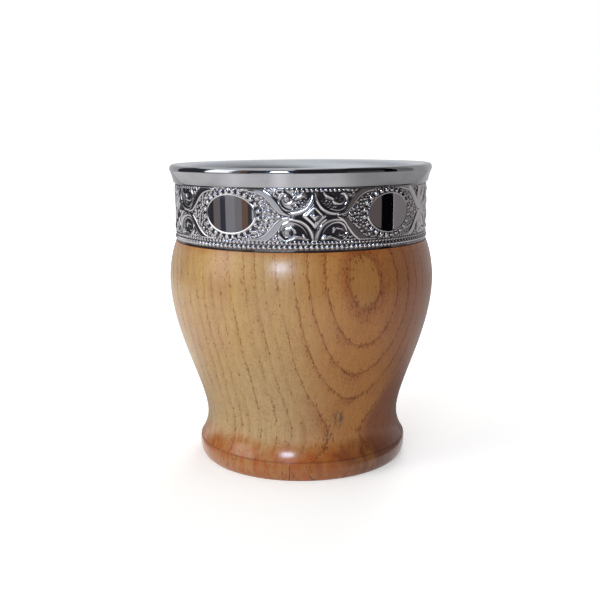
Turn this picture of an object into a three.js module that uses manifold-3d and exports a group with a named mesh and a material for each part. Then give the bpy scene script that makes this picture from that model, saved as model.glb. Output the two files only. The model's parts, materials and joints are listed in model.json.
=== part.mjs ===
// A turned wooden mate cup with a steel lining, a flared metal collar and an embossed metal band.
// Millimetres, +Z up. The origin is the centre of the foot's underside, and the front faces -Y.

import * as THREE from 'three';
import { mergeVertices } from 'three/addons/utils/BufferGeometryUtils.js';
import Module from 'manifold-3d';

const wasm = await Module();
wasm.setup();

// Outside of the wood: radii, and heights above the table
const FOOT_RADIUS = 32.5;
const FOOT_HEIGHT = 4.0;
const FOOT_ROLL_HALF_HEIGHT = 4.25;
const FOOT_ROLL_DEPTH = 2.0;
const CREASE_RADIUS = 32.2;
const CREASE_HEIGHT = 5.8;
const CREASE_SLOPE = 28.5;
const COVE_FULLNESS = 2.75;
const WAIST_RADIUS = 30.0;
const WAIST_HEIGHT = 13.4;
const WAIST_FULLNESS = 9.4;
const BELLY_RADIUS = 40.6;
const BELLY_HEIGHT = 56.1;
const BELLY_FULLNESS = 16.9;
const SHOULDER_HEIGHT = 67.7;
const SHOULDER_SLOPE = 24.5;
const SHOULDER_FULLNESS = 3.3;
const SHOULDER_INSET = 0.35;

// Inside of the wood
const WAIST_WALL = 4.9;
const WOOD_FLOOR = 12.6;

// Embossed band
const BAND_RADIUS = 38.75;
const BAND_SHOWN_HEIGHT = 17.45;
const BAND_LAP = 0.9;
const BAND_SHEET = 0.5;
const RELIEF = 0.65;
const MARGIN_HEIGHT = 0.9;
const MARGIN_PROUD = 0.5;
const MARGIN_ROUND = 0.3;
const BEAD_ROW_RISE = 1.55;
const BEAD_ROW_RADIUS = 0.6;
const SEAM_GAP = 0.9;

// Pattern of the band: lengths run around the band
const PATTERN_REPEATS = 5;
const PATTERN_AZIMUTH = 4.9;
const SEAM_STAR = 2;
const PATTERN_RISE = 10.05;
const OVAL_HALF_LENGTH = 7.8;
const OVAL_HALF_HEIGHT = 5.3;
const OVAL_DOME = 0.15;
const RING_SPACING = 1.05;
const RING_HALF_WIDTH = 0.6;
const ROUNDEL_RADIUS = 6.2;
const ROUNDEL_OFFSET = 6.4;
const ROUNDEL_FROM = 200;
const ROUNDEL_TO = 322;
const RIDGE_HALF_WIDTH = 0.55;
const RIDGE_CREST = 0.4;
const DIAMOND_HALF_LENGTH = 3.25;
const DIAMOND_HALF_HEIGHT = 3.6;
const DIAMOND_FRAME = 1.1;
const RELIEF_ROOT = 0.25;

// Flared collar
const COLLAR_HEIGHT = 5.1;
const COLLAR_SHEET = 0.5;
const RIM_FLARE = 1.15;
const LIP_ROUND = 1.25;
const FLARE_ROUND = 14;
const MOUTH_ROUND = 5.1;
const RETURN_LENGTH = 4;

// Steel lining
const LINER_SHEET = 0.6;
const LINER_CORNER = 8;
const FLANGE_BEND = 0.8;
const FLANGE_INSET = 0.3;

// Clearances and bond thicknesses
const LAP_GAP = 0.18;
const SEAT_GAP = 0.3;
const BAND_SEAT = 0.15;
const BAND_BOND = 0.4;
const FLOOR_BOND = 0.8;
const BOND_GAP = 0.06;
const SEAL_GAP = 0.15;
const BOND_INSET = 0.8;
const SOLDER_GAP = 0.15;

// Facets of the turned pieces and steps of their curves
const ROUND_STEPS = 48;
const LONG_CURVE_STEPS = 10;
const SHORT_CURVE_STEPS = 4;
const OVAL_STEPS = 16;
const RIDGE_STEPS = 6;

// Sizes that follow from the driving ones
const GROUND_RADIUS = BAND_RADIUS - RELIEF;
const BAND_BORE = GROUND_RADIUS - BAND_SHEET;
const NECK_RADIUS = BAND_BORE - BAND_BOND;
const REPEAT_DEGREES = 360 / PATTERN_REPEATS;
const SEAM_AZIMUTH = PATTERN_AZIMUTH + SEAM_STAR * REPEAT_DEGREES;
const SHOULDER_RADIUS = BAND_RADIUS - SHOULDER_INSET;
const BAND_BOTTOM = SHOULDER_HEIGHT + BAND_SEAT;
const SKIRT_BOTTOM = BAND_BOTTOM + BAND_SHOWN_HEIGHT;
const SKIRT_RADIUS = GROUND_RADIUS + LAP_GAP + COLLAR_SHEET;
const BAND_TOP = SKIRT_BOTTOM + BAND_LAP;
const RIM_TOP = SKIRT_BOTTOM + COLLAR_HEIGHT;
const LIP_CENTRE = new THREE.Vector2(BAND_RADIUS + RIM_FLARE - LIP_ROUND, RIM_TOP - LIP_ROUND);
const MOUTH_CENTRE = new THREE.Vector2(LIP_CENTRE.x, RIM_TOP - MOUTH_ROUND);

// Layers of the cup wall, as distances out from the inner face of the collar's sleeve
const SLEEVE_OUT = COLLAR_SHEET;
const LINER_IN = SLEEVE_OUT + LAP_GAP;
const LINER_OUT = LINER_IN + LINER_SHEET;
const BORE = LINER_OUT + SEAT_GAP;

// The wall leans so that the bore touches the mouth's rounding and leaves WAIST_WALL at the waist.
const BORE_AT_WAIST = new THREE.Vector2(WAIST_RADIUS - WAIST_WALL, WAIST_HEIGHT);
const TO_MOUTH = MOUTH_CENTRE.clone().sub(BORE_AT_WAIST);
const LEAN = Math.atan2(TO_MOUTH.x, TO_MOUTH.y) - Math.asin((MOUTH_ROUND - BORE) / TO_MOUTH.length());
const LEAN_DEGREES = THREE.MathUtils.radToDeg(LEAN);
const WALL_OUTWARD = new THREE.Vector2(Math.cos(LEAN), -Math.sin(LEAN));
const SLEEVE_TOP = MOUTH_CENTRE.clone().addScaledVector(WALL_OUTWARD, -MOUTH_ROUND);

// Radius at one height of the wall layer that lies the given distance out.
function wallRadius(layer, height) {
  return SLEEVE_TOP.x + layer / Math.cos(LEAN) + (height - SLEEVE_TOP.y) * Math.tan(LEAN);
}

// Heights of the lining
const LINER_FLOOR_UNDER = WOOD_FLOOR + FLOOR_BOND;
const LINER_FLOOR = LINER_FLOOR_UNDER + LINER_SHEET;
const FLANGE_UNDER = BAND_TOP + SEAT_GAP;
const FLANGE_TOP = FLANGE_UNDER + LINER_SHEET;
const FLANGE_RADIUS = NECK_RADIUS - FLANGE_INSET;
const BEND_HEIGHT = FLANGE_UNDER - FLANGE_BEND;
const BEND_CENTRE = new THREE.Vector2(wallRadius(LINER_OUT + FLANGE_BEND, BEND_HEIGHT), BEND_HEIGHT);
const CORNER_HEIGHT = LINER_FLOOR + LINER_CORNER;
const CORNER_CENTRE = new THREE.Vector2(wallRadius(LINER_IN - LINER_CORNER, CORNER_HEIGHT), CORNER_HEIGHT);

// Points of a stretch of outline, each as a radius and a height
const spot = (radius, height) => [new THREE.Vector2(radius, height)];

function arc(centre, radius, fromDegrees, toDegrees, steps) {
  const from = THREE.MathUtils.degToRad(fromDegrees);
  const to = THREE.MathUtils.degToRad(toDegrees);
  const curve = new THREE.EllipseCurve(centre.x, centre.y, radius, radius, from, to, to < from);
  return curve.getPoints(steps);
}

function sweep(start, startHandle, endHandle, end, steps) {
  const corners = [start, startHandle, endHandle, end];
  const points = corners.map(([radius, height]) => new THREE.Vector2(radius, height));
  return new THREE.CubicBezierCurve(...points).getPoints(steps);
}

// Solid of revolution about +Z. The outline runs anticlockwise, and closes on itself or on the axis.
function turned(...stretches) {
  const outline = stretches.flat();
  const distinct = outline.filter((point, i) => i === 0 || point.distanceTo(outline[i - 1]) > 1e-6);
  const onAxis = distinct[0].x === 0;
  const points = onAxis ? distinct : [...distinct, distinct[0]];
  return new THREE.LatheGeometry(points, ROUND_STEPS).rotateX(Math.PI / 2);
}

// Solids for joining and cutting
function toSolid(geometry) {
  const bare = geometry.clone();
  bare.deleteAttribute('normal');
  bare.deleteAttribute('uv');
  const merged = mergeVertices(bare, 1e-4);
  const vertProperties = new Float32Array(merged.attributes.position.array);
  const triVerts = new Uint32Array(merged.index.array);
  return new wasm.Manifold(new wasm.Mesh({ numProp: 3, vertProperties, triVerts }));
}

function toGeometry(solid) {
  const mesh = solid.getMesh();
  const geometry = new THREE.BufferGeometry();
  geometry.setAttribute('position', new THREE.BufferAttribute(mesh.vertProperties, 3));
  geometry.setIndex(new THREE.BufferAttribute(mesh.triVerts, 1));
  geometry.computeVertexNormals();
  return geometry;
}

// Wooden body: foot roll, cove, waist, belly, shoulder and neck, bored for the lining
function woodBody() {
  const coveSlope = THREE.MathUtils.degToRad(CREASE_SLOPE);
  const shoulderSlope = THREE.MathUtils.degToRad(SHOULDER_SLOPE);
  const rollCentre = FOOT_RADIUS - FOOT_ROLL_DEPTH;
  const rollStart = -Math.asin(FOOT_HEIGHT / FOOT_ROLL_HALF_HEIGHT);
  const rollEnd = Math.asin((CREASE_HEIGHT - FOOT_HEIGHT) / FOOT_ROLL_HALF_HEIGHT);
  const roll = new THREE.EllipseCurve(
    rollCentre, FOOT_HEIGHT, FOOT_ROLL_DEPTH, FOOT_ROLL_HALF_HEIGHT, rollStart, rollEnd);
  const cove = sweep(
    [CREASE_RADIUS, CREASE_HEIGHT],
    [CREASE_RADIUS - COVE_FULLNESS * Math.sin(coveSlope),
      CREASE_HEIGHT + COVE_FULLNESS * Math.cos(coveSlope)],
    [WAIST_RADIUS, WAIST_HEIGHT - COVE_FULLNESS],
    [WAIST_RADIUS, WAIST_HEIGHT],
    SHORT_CURVE_STEPS);
  const side = sweep(
    [WAIST_RADIUS, WAIST_HEIGHT],
    [WAIST_RADIUS, WAIST_HEIGHT + WAIST_FULLNESS],
    [BELLY_RADIUS, BELLY_HEIGHT - BELLY_FULLNESS],
    [BELLY_RADIUS, BELLY_HEIGHT],
    LONG_CURVE_STEPS);
  const shoulder = sweep(
    [BELLY_RADIUS, BELLY_HEIGHT],
    [BELLY_RADIUS, BELLY_HEIGHT + SHOULDER_FULLNESS],
    [SHOULDER_RADIUS + SHOULDER_FULLNESS * Math.sin(shoulderSlope),
      SHOULDER_HEIGHT - SHOULDER_FULLNESS * Math.cos(shoulderSlope)],
    [SHOULDER_RADIUS, SHOULDER_HEIGHT],
    SHORT_CURVE_STEPS);
  const boreCorner = new THREE.Vector2(CORNER_CENTRE.x, WOOD_FLOOR + LINER_CORNER + BORE - LINER_IN);
  return turned(
    spot(0, 0),
    roll.getPoints(SHORT_CURVE_STEPS),
    cove,
    side,
    shoulder,
    spot(NECK_RADIUS, SHOULDER_HEIGHT),
    spot(NECK_RADIUS, BAND_TOP),
    arc(BEND_CENTRE, FLANGE_BEND - SEAT_GAP, 90, 180 - LEAN_DEGREES, SHORT_CURVE_STEPS),
    arc(boreCorner, LINER_CORNER + BORE - LINER_IN, -LEAN_DEGREES, -90, SHORT_CURVE_STEPS),
    spot(0, WOOD_FLOOR));
}

// Steel lining: floor, rounded corner, leaning wall and a flange that hangs on the neck
function innerCup() {
  const under = LINER_CORNER + LINER_SHEET;
  return turned(
    spot(0, LINER_FLOOR_UNDER),
    arc(CORNER_CENTRE, under, -90, -LEAN_DEGREES, SHORT_CURVE_STEPS),
    arc(BEND_CENTRE, FLANGE_BEND, 180 - LEAN_DEGREES, 90, SHORT_CURVE_STEPS),
    spot(FLANGE_RADIUS, FLANGE_UNDER),
    spot(FLANGE_RADIUS, FLANGE_TOP),
    arc(BEND_CENTRE, FLANGE_BEND + LINER_SHEET, 90, 180 - LEAN_DEGREES, SHORT_CURVE_STEPS),
    arc(CORNER_CENTRE, LINER_CORNER, -LEAN_DEGREES, -90, SHORT_CURVE_STEPS),
    spot(0, LINER_FLOOR));
}

// Centre of the flare: it touches the lip from outside and passes through the skirt's lower edge.
function flareCentre() {
  const skirt = new THREE.Vector2(SKIRT_RADIUS, SKIRT_BOTTOM);
  const across = LIP_CENTRE.clone().sub(skirt);
  const span = across.length();
  const reach = FLARE_ROUND + LIP_ROUND;
  const along = (span * span + FLARE_ROUND * FLARE_ROUND - reach * reach) / (2 * span);
  const side = Math.sqrt(FLARE_ROUND * FLARE_ROUND - along * along);
  const direction = across.normalize();
  const outward = new THREE.Vector2(direction.y, -direction.x);
  return skirt.addScaledVector(direction, along).addScaledVector(outward, side);
}

// Flared collar: skirt over the band's upper edge, flare, rolled lip, and a sleeve inside the lining
function rimCollar() {
  const centre = flareCentre();
  const degrees = (from, to) => THREE.MathUtils.radToDeg(Math.atan2(to.y - from.y, to.x - from.x));
  const toSkirt = degrees(centre, new THREE.Vector2(SKIRT_RADIUS, SKIRT_BOTTOM)) + 360;
  const toLip = degrees(centre, LIP_CENTRE);
  const sleeve = 180 - LEAN_DEGREES;
  const sleeveEnd = SLEEVE_TOP.y - RETURN_LENGTH;
  return turned(
    arc(centre, FLARE_ROUND, toSkirt, toLip, SHORT_CURVE_STEPS),
    arc(LIP_CENTRE, LIP_ROUND, toLip - 180, 90, SHORT_CURVE_STEPS),
    arc(MOUTH_CENTRE, MOUTH_ROUND, 90, sleeve, SHORT_CURVE_STEPS),
    spot(wallRadius(0, sleeveEnd), sleeveEnd),
    spot(wallRadius(SLEEVE_OUT, sleeveEnd), sleeveEnd),
    arc(MOUTH_CENTRE, MOUTH_ROUND - COLLAR_SHEET, sleeve, 90, SHORT_CURVE_STEPS),
    arc(LIP_CENTRE, LIP_ROUND - COLLAR_SHEET, 90, toLip - 180, SHORT_CURVE_STEPS),
    arc(centre, FLARE_ROUND + COLLAR_SHEET, toLip, toSkirt, SHORT_CURVE_STEPS));
}

// Lays a flat relief piece on the band: x runs around it, y up from the pattern's middle and z out.
function wrapped(geometry, azimuthDegrees) {
  const position = geometry.attributes.position;
  for (let i = 0; i < position.count; i += 1) {
    const angle = THREE.MathUtils.degToRad(azimuthDegrees) + position.getX(i) / GROUND_RADIUS;
    const radius = GROUND_RADIUS + position.getZ(i);
    const height = BAND_BOTTOM + PATTERN_RISE + position.getY(i);
    position.setXYZ(i, radius * Math.sin(angle), -radius * Math.cos(angle), height);
  }
  return toSolid(geometry);
}

// Raised ridge along a flat curve, with sloping sides and a flat crest
function ridge(curve, halfWidth, height, steps) {
  const closed = curve.getPoint(0).distanceTo(curve.getPoint(1)) < 1e-6;
  const section = [[-1, -RELIEF_ROOT], [1, -RELIEF_ROOT], [RIDGE_CREST, height], [-RIDGE_CREST, height]];
  const rows = closed ? steps : steps + 1;
  const vertices = [];
  for (let row = 0; row < rows; row += 1) {
    const point = curve.getPoint(row / steps);
    const along = curve.getTangent(row / steps);
    for (const [across, out] of section) {
      vertices.push(point.x + across * halfWidth * along.y, point.y - across * halfWidth * along.x, out);
    }
  }
  const faces = [];
  const corners = section.length;
  for (let row = 0; row < steps; row += 1) {
    const here = row * corners;
    const next = ((row + 1) % rows) * corners;
    for (let i = 0; i < corners; i += 1) {
      const j = (i + 1) % corners;
      faces.push(here + i, next + j, here + j, here + i, next + i, next + j);
    }
  }
  if (!closed) {
    const end = steps * corners;
    faces.push(0, 1, 2, 0, 2, 3, end, end + 2, end + 1, end, end + 3, end + 2);
  }
  const geometry = new THREE.BufferGeometry();
  geometry.setAttribute('position', new THREE.Float32BufferAttribute(vertices, 3));
  geometry.setIndex(faces);
  return geometry;
}

// Domed mirror oval
function ovalBoss() {
  const edge = RELIEF - OVAL_DOME;
  const halfway = RELIEF - OVAL_DOME / 4;
  const underside = [[0, -RELIEF_ROOT], [0.5, -RELIEF_ROOT], [1, -RELIEF_ROOT]];
  const profile = [...underside, [1, edge], [0.5, halfway], [0, RELIEF]];
  const points = profile.map(([share, out]) => new THREE.Vector2(share, out));
  const disc = new THREE.LatheGeometry(points, OVAL_STEPS).rotateX(Math.PI / 2);
  return disc.scale(OVAL_HALF_LENGTH, OVAL_HALF_HEIGHT, 1);
}

// Ring that the beads around an oval follow
function ovalRing() {
  const length = OVAL_HALF_LENGTH + RING_SPACING;
  const height = OVAL_HALF_HEIGHT + RING_SPACING;
  return ridge(new THREE.EllipseCurve(0, 0, length, height), RING_HALF_WIDTH, RELIEF, OVAL_STEPS);
}

// One of the four arcs whose backs bound a star, mirrored across and up
function starArc(across, up) {
  const turn = THREE.MathUtils.degToRad;
  const from = across > 0 ? turn(ROUNDEL_FROM) : Math.PI - turn(ROUNDEL_TO);
  const to = across > 0 ? turn(ROUNDEL_TO) : Math.PI - turn(ROUNDEL_FROM);
  const flip = up > 0 ? [from, to] : [-to, -from];
  const curve = new THREE.EllipseCurve(
    across * ROUNDEL_OFFSET, up * ROUNDEL_OFFSET, ROUNDEL_RADIUS, ROUNDEL_RADIUS, ...flip);
  return ridge(curve, RIDGE_HALF_WIDTH, RELIEF, RIDGE_STEPS);
}

// Diamond-shaped frame in the middle of a star
function diamondFrame() {
  const corners = (inset) => [
    [DIAMOND_HALF_LENGTH - inset, 0],
    [0, DIAMOND_HALF_HEIGHT - inset],
    [inset - DIAMOND_HALF_LENGTH, 0],
    [0, inset - DIAMOND_HALF_HEIGHT],
  ].map(([x, y]) => new THREE.Vector2(x, y));
  const shape = new THREE.Shape(corners(0));
  shape.holes.push(new THREE.Path(corners(DIAMOND_FRAME)));
  const frame = new THREE.ExtrudeGeometry(shape, { depth: RELIEF_ROOT + RELIEF, bevelEnabled: false });
  return frame.translate(0, 0, -RELIEF_ROOT);
}

// Upright slab through the band where its ends meet
function seamSlab(width, inner, outer, bottom, top) {
  const slab = new THREE.BoxGeometry(width, outer - inner, top - bottom);
  slab.translate(0, -(inner + outer) / 2, (bottom + top) / 2);
  return slab.rotateZ(THREE.MathUtils.degToRad(SEAM_AZIMUTH));
}

// Embossed band: a strip with a rolled margin, a bead row and the repeated pattern, open at the seam
function embossedBand() {
  const margin = GROUND_RADIUS + MARGIN_PROUD;
  const bead = new THREE.Vector2(GROUND_RADIUS, BAND_BOTTOM + BEAD_ROW_RISE);
  const strip = turned(
    spot(BAND_BORE, BAND_BOTTOM),
    spot(margin - MARGIN_ROUND, BAND_BOTTOM),
    spot(margin, BAND_BOTTOM + MARGIN_ROUND),
    spot(margin, BAND_BOTTOM + MARGIN_HEIGHT - MARGIN_ROUND),
    spot(GROUND_RADIUS, BAND_BOTTOM + MARGIN_HEIGHT),
    arc(bead, BEAD_ROW_RADIUS, -90, 90, SHORT_CURVE_STEPS),
    spot(GROUND_RADIUS, BAND_TOP),
    spot(BAND_BORE, BAND_TOP));
  let band = toSolid(strip);
  for (let i = 0; i < PATTERN_REPEATS; i += 1) {
    const star = PATTERN_AZIMUTH + i * REPEAT_DEGREES;
    const oval = star + REPEAT_DEGREES / 2;
    band = band.add(wrapped(ovalBoss(), oval)).add(wrapped(ovalRing(), oval));
    band = band.add(wrapped(diamondFrame(), star));
    for (const across of [-1, 1]) {
      for (const up of [-1, 1]) {
        band = band.add(wrapped(starArc(across, up), star));
      }
    }
  }
  const beyond = RELIEF + BAND_SHEET;
  const cut = seamSlab(
    SEAM_GAP, BAND_BORE - beyond, BAND_RADIUS + beyond, BAND_BOTTOM - beyond, BAND_TOP + beyond);
  return toGeometry(band.subtract(toSolid(cut)));
}

// Solder that closes the strip into a ring
function bandSeamSolder() {
  const width = SEAM_GAP - 2 * SOLDER_GAP;
  return seamSlab(width, BAND_BORE, GROUND_RADIUS, BAND_BOTTOM, SKIRT_BOTTOM);
}

// Film of adhesive between the band and the neck
function bandAdhesive() {
  const inner = NECK_RADIUS + BOND_GAP;
  const outer = BAND_BORE - BOND_GAP;
  const bottom = BAND_BOTTOM + BOND_INSET;
  const top = BAND_TOP - BOND_INSET;
  return turned(spot(inner, bottom), spot(outer, bottom), spot(outer, top), spot(inner, top));
}

// Pad of adhesive under the lining's floor
function floorAdhesive() {
  const radius = CORNER_CENTRE.x - BOND_INSET;
  const bottom = WOOD_FLOOR + BOND_GAP;
  const top = LINER_FLOOR_UNDER - BOND_GAP;
  return turned(spot(0, bottom), spot(radius, bottom), spot(radius, top), spot(0, top));
}

// Ring of sealant that fills the hollow between the lining's flange and the collar's rounded mouth
function rimSealant() {
  const round = MOUTH_ROUND - COLLAR_SHEET - SEAL_GAP;
  const bottom = FLANGE_TOP + SEAL_GAP;
  const tip = 180 - THREE.MathUtils.radToDeg(Math.asin((bottom - MOUTH_CENTRE.y) / round));
  const outer = THREE.MathUtils.radToDeg(Math.acos((FLANGE_RADIUS - MOUTH_CENTRE.x) / round));
  return turned(
    spot(FLANGE_RADIUS, bottom),
    arc(MOUTH_CENTRE, round, outer, tip, SHORT_CURVE_STEPS));
}

// Finishes
const wood = new THREE.MeshStandardMaterial({ color: '#b5885a', roughness: 0.35, metalness: 0 });
const steel = new THREE.MeshStandardMaterial({ color: '#c3c4c6', roughness: 0.12, metalness: 1 });
const chased = new THREE.MeshStandardMaterial({ color: '#9a9b9f', roughness: 0.25, metalness: 1 });
const solder = new THREE.MeshStandardMaterial({ color: '#a3a4a4', roughness: 0.45, metalness: 1 });
const adhesive = new THREE.MeshStandardMaterial({ color: '#d9d0b8', roughness: 0.6, metalness: 0 });

// Assembly
const cup = new THREE.Group();

function place(name, geometry, material) {
  const mesh = new THREE.Mesh(geometry, material);
  mesh.name = name;
  cup.add(mesh);
}

place('wood_body', woodBody(), wood);
place('inner_cup', innerCup(), steel);
place('rim_collar', rimCollar(), steel);
place('embossed_band', embossedBand(), chased);
place('band_seam_solder', bandSeamSolder(), solder);
place('band_adhesive', bandAdhesive(), adhesive);
place('floor_adhesive', floorAdhesive(), adhesive);
place('rim_sealant', rimSealant(), adhesive);

export default cup;
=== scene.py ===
# %% [markdown]
# # A turned wooden mate cup
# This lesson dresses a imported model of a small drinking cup: a turned wooden body, a steel lining,
# a flared collar and an embossed metal band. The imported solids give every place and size, and the
# fine surfaces are worked out here with numpy, one piece at a time. Lengths in the text and in the
# named values are millimetres. The front of the cup faces -Y, and +Z is up.

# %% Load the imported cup
import json
import math

import bpy
import numpy as np
from mathutils import Matrix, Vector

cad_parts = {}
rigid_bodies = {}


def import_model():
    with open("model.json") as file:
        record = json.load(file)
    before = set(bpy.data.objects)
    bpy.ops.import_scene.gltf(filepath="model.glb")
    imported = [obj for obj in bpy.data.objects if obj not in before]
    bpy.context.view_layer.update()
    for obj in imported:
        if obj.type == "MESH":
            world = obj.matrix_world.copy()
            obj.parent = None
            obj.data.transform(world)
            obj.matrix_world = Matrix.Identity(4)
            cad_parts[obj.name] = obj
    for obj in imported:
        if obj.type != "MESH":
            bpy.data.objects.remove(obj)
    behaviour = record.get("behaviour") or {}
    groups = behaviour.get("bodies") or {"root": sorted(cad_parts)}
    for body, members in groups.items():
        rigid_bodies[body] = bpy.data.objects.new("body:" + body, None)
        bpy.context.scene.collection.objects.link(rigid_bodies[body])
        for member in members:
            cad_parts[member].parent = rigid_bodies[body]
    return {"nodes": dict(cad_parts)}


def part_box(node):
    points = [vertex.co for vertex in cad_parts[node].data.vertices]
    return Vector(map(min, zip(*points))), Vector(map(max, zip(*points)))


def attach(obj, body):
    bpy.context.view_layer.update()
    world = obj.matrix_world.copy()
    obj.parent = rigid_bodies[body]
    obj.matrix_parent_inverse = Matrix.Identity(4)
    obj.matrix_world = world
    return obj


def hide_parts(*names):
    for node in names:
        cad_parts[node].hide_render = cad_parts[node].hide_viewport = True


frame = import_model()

MM = 0.001
scene = bpy.context.scene
scene.view_settings.view_transform = "Standard"
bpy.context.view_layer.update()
print("packed nodes:", sorted(frame["nodes"]))

# %% [markdown]
# ## The camera
# A camera could be aimed by hand until the picture looks right. Here its place, tilt and focal length
# were fitted to the outline of a cup of this size, so the numbers are simply written down. Its three
# axes are built from the tilt and the small roll, which avoids any doubt about the order of turns.

# %% Camera
FRAME_PIXELS = 600
SENSOR_WIDTH = 36.0
FOCAL_PIXELS = 915.5
CAMERA_PLACE = np.array([-0.47, -283.2, 100.3])
CAMERA_TILT = math.radians(10.51)
CAMERA_ROLL = math.radians(-0.43)


def camera_axes(tilt, roll):
    """Right, up and backward axes of a camera that looks along +Y, tilts down and then rolls."""
    level = np.array([1.0, 0.0, 0.0])
    rising = np.array([0.0, math.sin(tilt), math.cos(tilt)])
    right = level * math.cos(roll) + rising * math.sin(roll)
    up = rising * math.cos(roll) - level * math.sin(roll)
    return right, up, np.cross(right, up)


camera_data = bpy.data.cameras.new("photo_camera")
camera_data.sensor_fit = "HORIZONTAL"
camera_data.sensor_width = SENSOR_WIDTH
camera_data.lens = FOCAL_PIXELS * SENSOR_WIDTH / FRAME_PIXELS
camera_data.clip_start = MM
camera = bpy.data.objects.new("photo_camera", camera_data)
scene.collection.objects.link(camera)
scene.camera = camera
camera_grid = np.identity(4)
camera_grid[:3, :3] = np.column_stack(camera_axes(CAMERA_TILT, CAMERA_ROLL))
camera_grid[:3, 3] = CAMERA_PLACE * MM
camera.matrix_world = Matrix(camera_grid.tolist())
print("camera lens in mm:", round(camera_data.lens, 2))

# %% [markdown]
# ## Turned surfaces
# The wood, the lining and the collar are all round, so each is one outline carried about the upright
# axis. Blender's Screw modifier can do this, but a direct formula gives clean poles and leaves the
# place in the mesh. The outline is made of arcs and Bezier sweeps, sampled finely enough that the
# smooth shading has no visible steps.

# %% Outlines and turning
ROUND_STEPS = 288
SHARP_ANGLE = math.radians(32)
SAME_POINT = 1e-6


def spot(radius, height):
    """One corner of an outline."""
    return np.array([[radius, height]], float)


def arc(centre, radius, start, end, steps=24):
    """Points on a circle: the centre plus the radius times cosine and sine, between two angles in degrees."""
    angle = np.radians(np.linspace(start, end, steps))
    return np.column_stack([centre[0] + radius * np.cos(angle), centre[1] + radius * np.sin(angle)])


def sweep(start, leave, arrive, end, steps):
    """Cubic Bezier curve: four corners weighted by the cubic Bernstein polynomials."""
    share = np.linspace(0, 1, steps)[:, None]
    rest = 1 - share
    corners = [np.array(corner, float) for corner in (start, leave, arrive, end)]
    weights = [rest ** 3, 3 * rest ** 2 * share, 3 * rest * share ** 2, share ** 3]
    return sum(weight * corner for weight, corner in zip(weights, corners))


def quads(grid):
    """Faces between the neighbouring points of a grid of point numbers."""
    return np.stack([grid[:-1, :-1], grid[:-1, 1:], grid[1:, 1:], grid[1:, :-1]], axis=-1).reshape(-1, 4)


def turned(name, *stretches):
    """Carries an outline of (radius, height) about +Z: x = r sin(a), y = -r cos(a).

    The outline starts and ends on the axis, or closes on itself.
    """
    outline = np.vstack(stretches)
    moved = np.linalg.norm(np.diff(outline, axis=0), axis=1) > SAME_POINT
    outline = outline[np.append(True, moved)]
    on_axis = outline[0, 0] == 0
    rings = outline[1:-1] if on_axis else outline
    angle = np.linspace(0, 2 * math.pi, ROUND_STEPS, endpoint=False)
    around = np.stack([np.sin(angle), -np.cos(angle)])
    x, y = rings[:, :1] * around[0], rings[:, :1] * around[1]
    z = np.broadcast_to(rings[:, 1:], x.shape)
    points = np.stack([x, y, z], axis=-1).reshape(-1, 3)
    index = np.arange(len(rings) * ROUND_STEPS).reshape(len(rings), ROUND_STEPS)
    rows = index if on_axis else np.vstack([index, index[:1]])
    faces = quads(np.column_stack([rows, rows[:, :1]])).tolist()
    if on_axis:
        poles = [[0, 0, outline[0, 1]], [0, 0, outline[-1, 1]]]
        low, high = len(points), len(points) + 1
        points = np.vstack([points, poles])
        faces += [[low, b, a] for a, b in zip(index[0], np.roll(index[0], -1))]
        faces += [[a, b, high] for a, b in zip(index[-1], np.roll(index[-1], -1))]
    return skin(name, points, faces)


def skin(name, points, faces, sharp=SHARP_ANGLE):
    """Smooth-shaded mesh from points in millimetres, with hard edges where two faces meet sharply."""
    mesh = bpy.data.meshes.new(name)
    mesh.from_pydata((points * MM).tolist(), [], faces)
    mesh.shade_smooth()
    mesh.set_sharp_from_angle(angle=sharp)
    mesh.validate()
    return mesh


def show(mesh, finish, slot, *nodes):
    """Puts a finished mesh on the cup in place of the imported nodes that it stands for."""
    piece = bpy.data.objects.new(mesh.name, mesh)
    scene.collection.objects.link(piece)
    mesh.materials.append(finish)
    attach(piece, "root")
    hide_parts(*nodes)
    sides = np.empty(len(mesh.polygons), np.int32)
    mesh.polygons.foreach_get("loop_total", sides)
    print(f"{piece.name}: {len(mesh.vertices)} points, {int((sides - 2).sum())} triangles")
    return piece


print("outline tools ready,", ROUND_STEPS, "steps around")

# %% [markdown]
# ## Finishes as node trees
# Every finish is procedural, so it needs a few dozen shader nodes. They could be wired one by one, but
# a small helper that adds a node, links whatever is a socket and sets whatever is a plain value keeps
# each finish readable. Patterns are read at the point itself, in millimetres, so they do not stretch.


# %% A helper that wires finishes
def colour(red, green, blue):
    """Linear colour from the 0-255 values that a screen shows."""
    shown = np.array([red, green, blue]) / 255
    linear = np.where(shown > 0.04045, ((shown + 0.055) / 1.055) ** 2.4, shown / 12.92)
    return (*linear.tolist(), 1.0)


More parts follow.
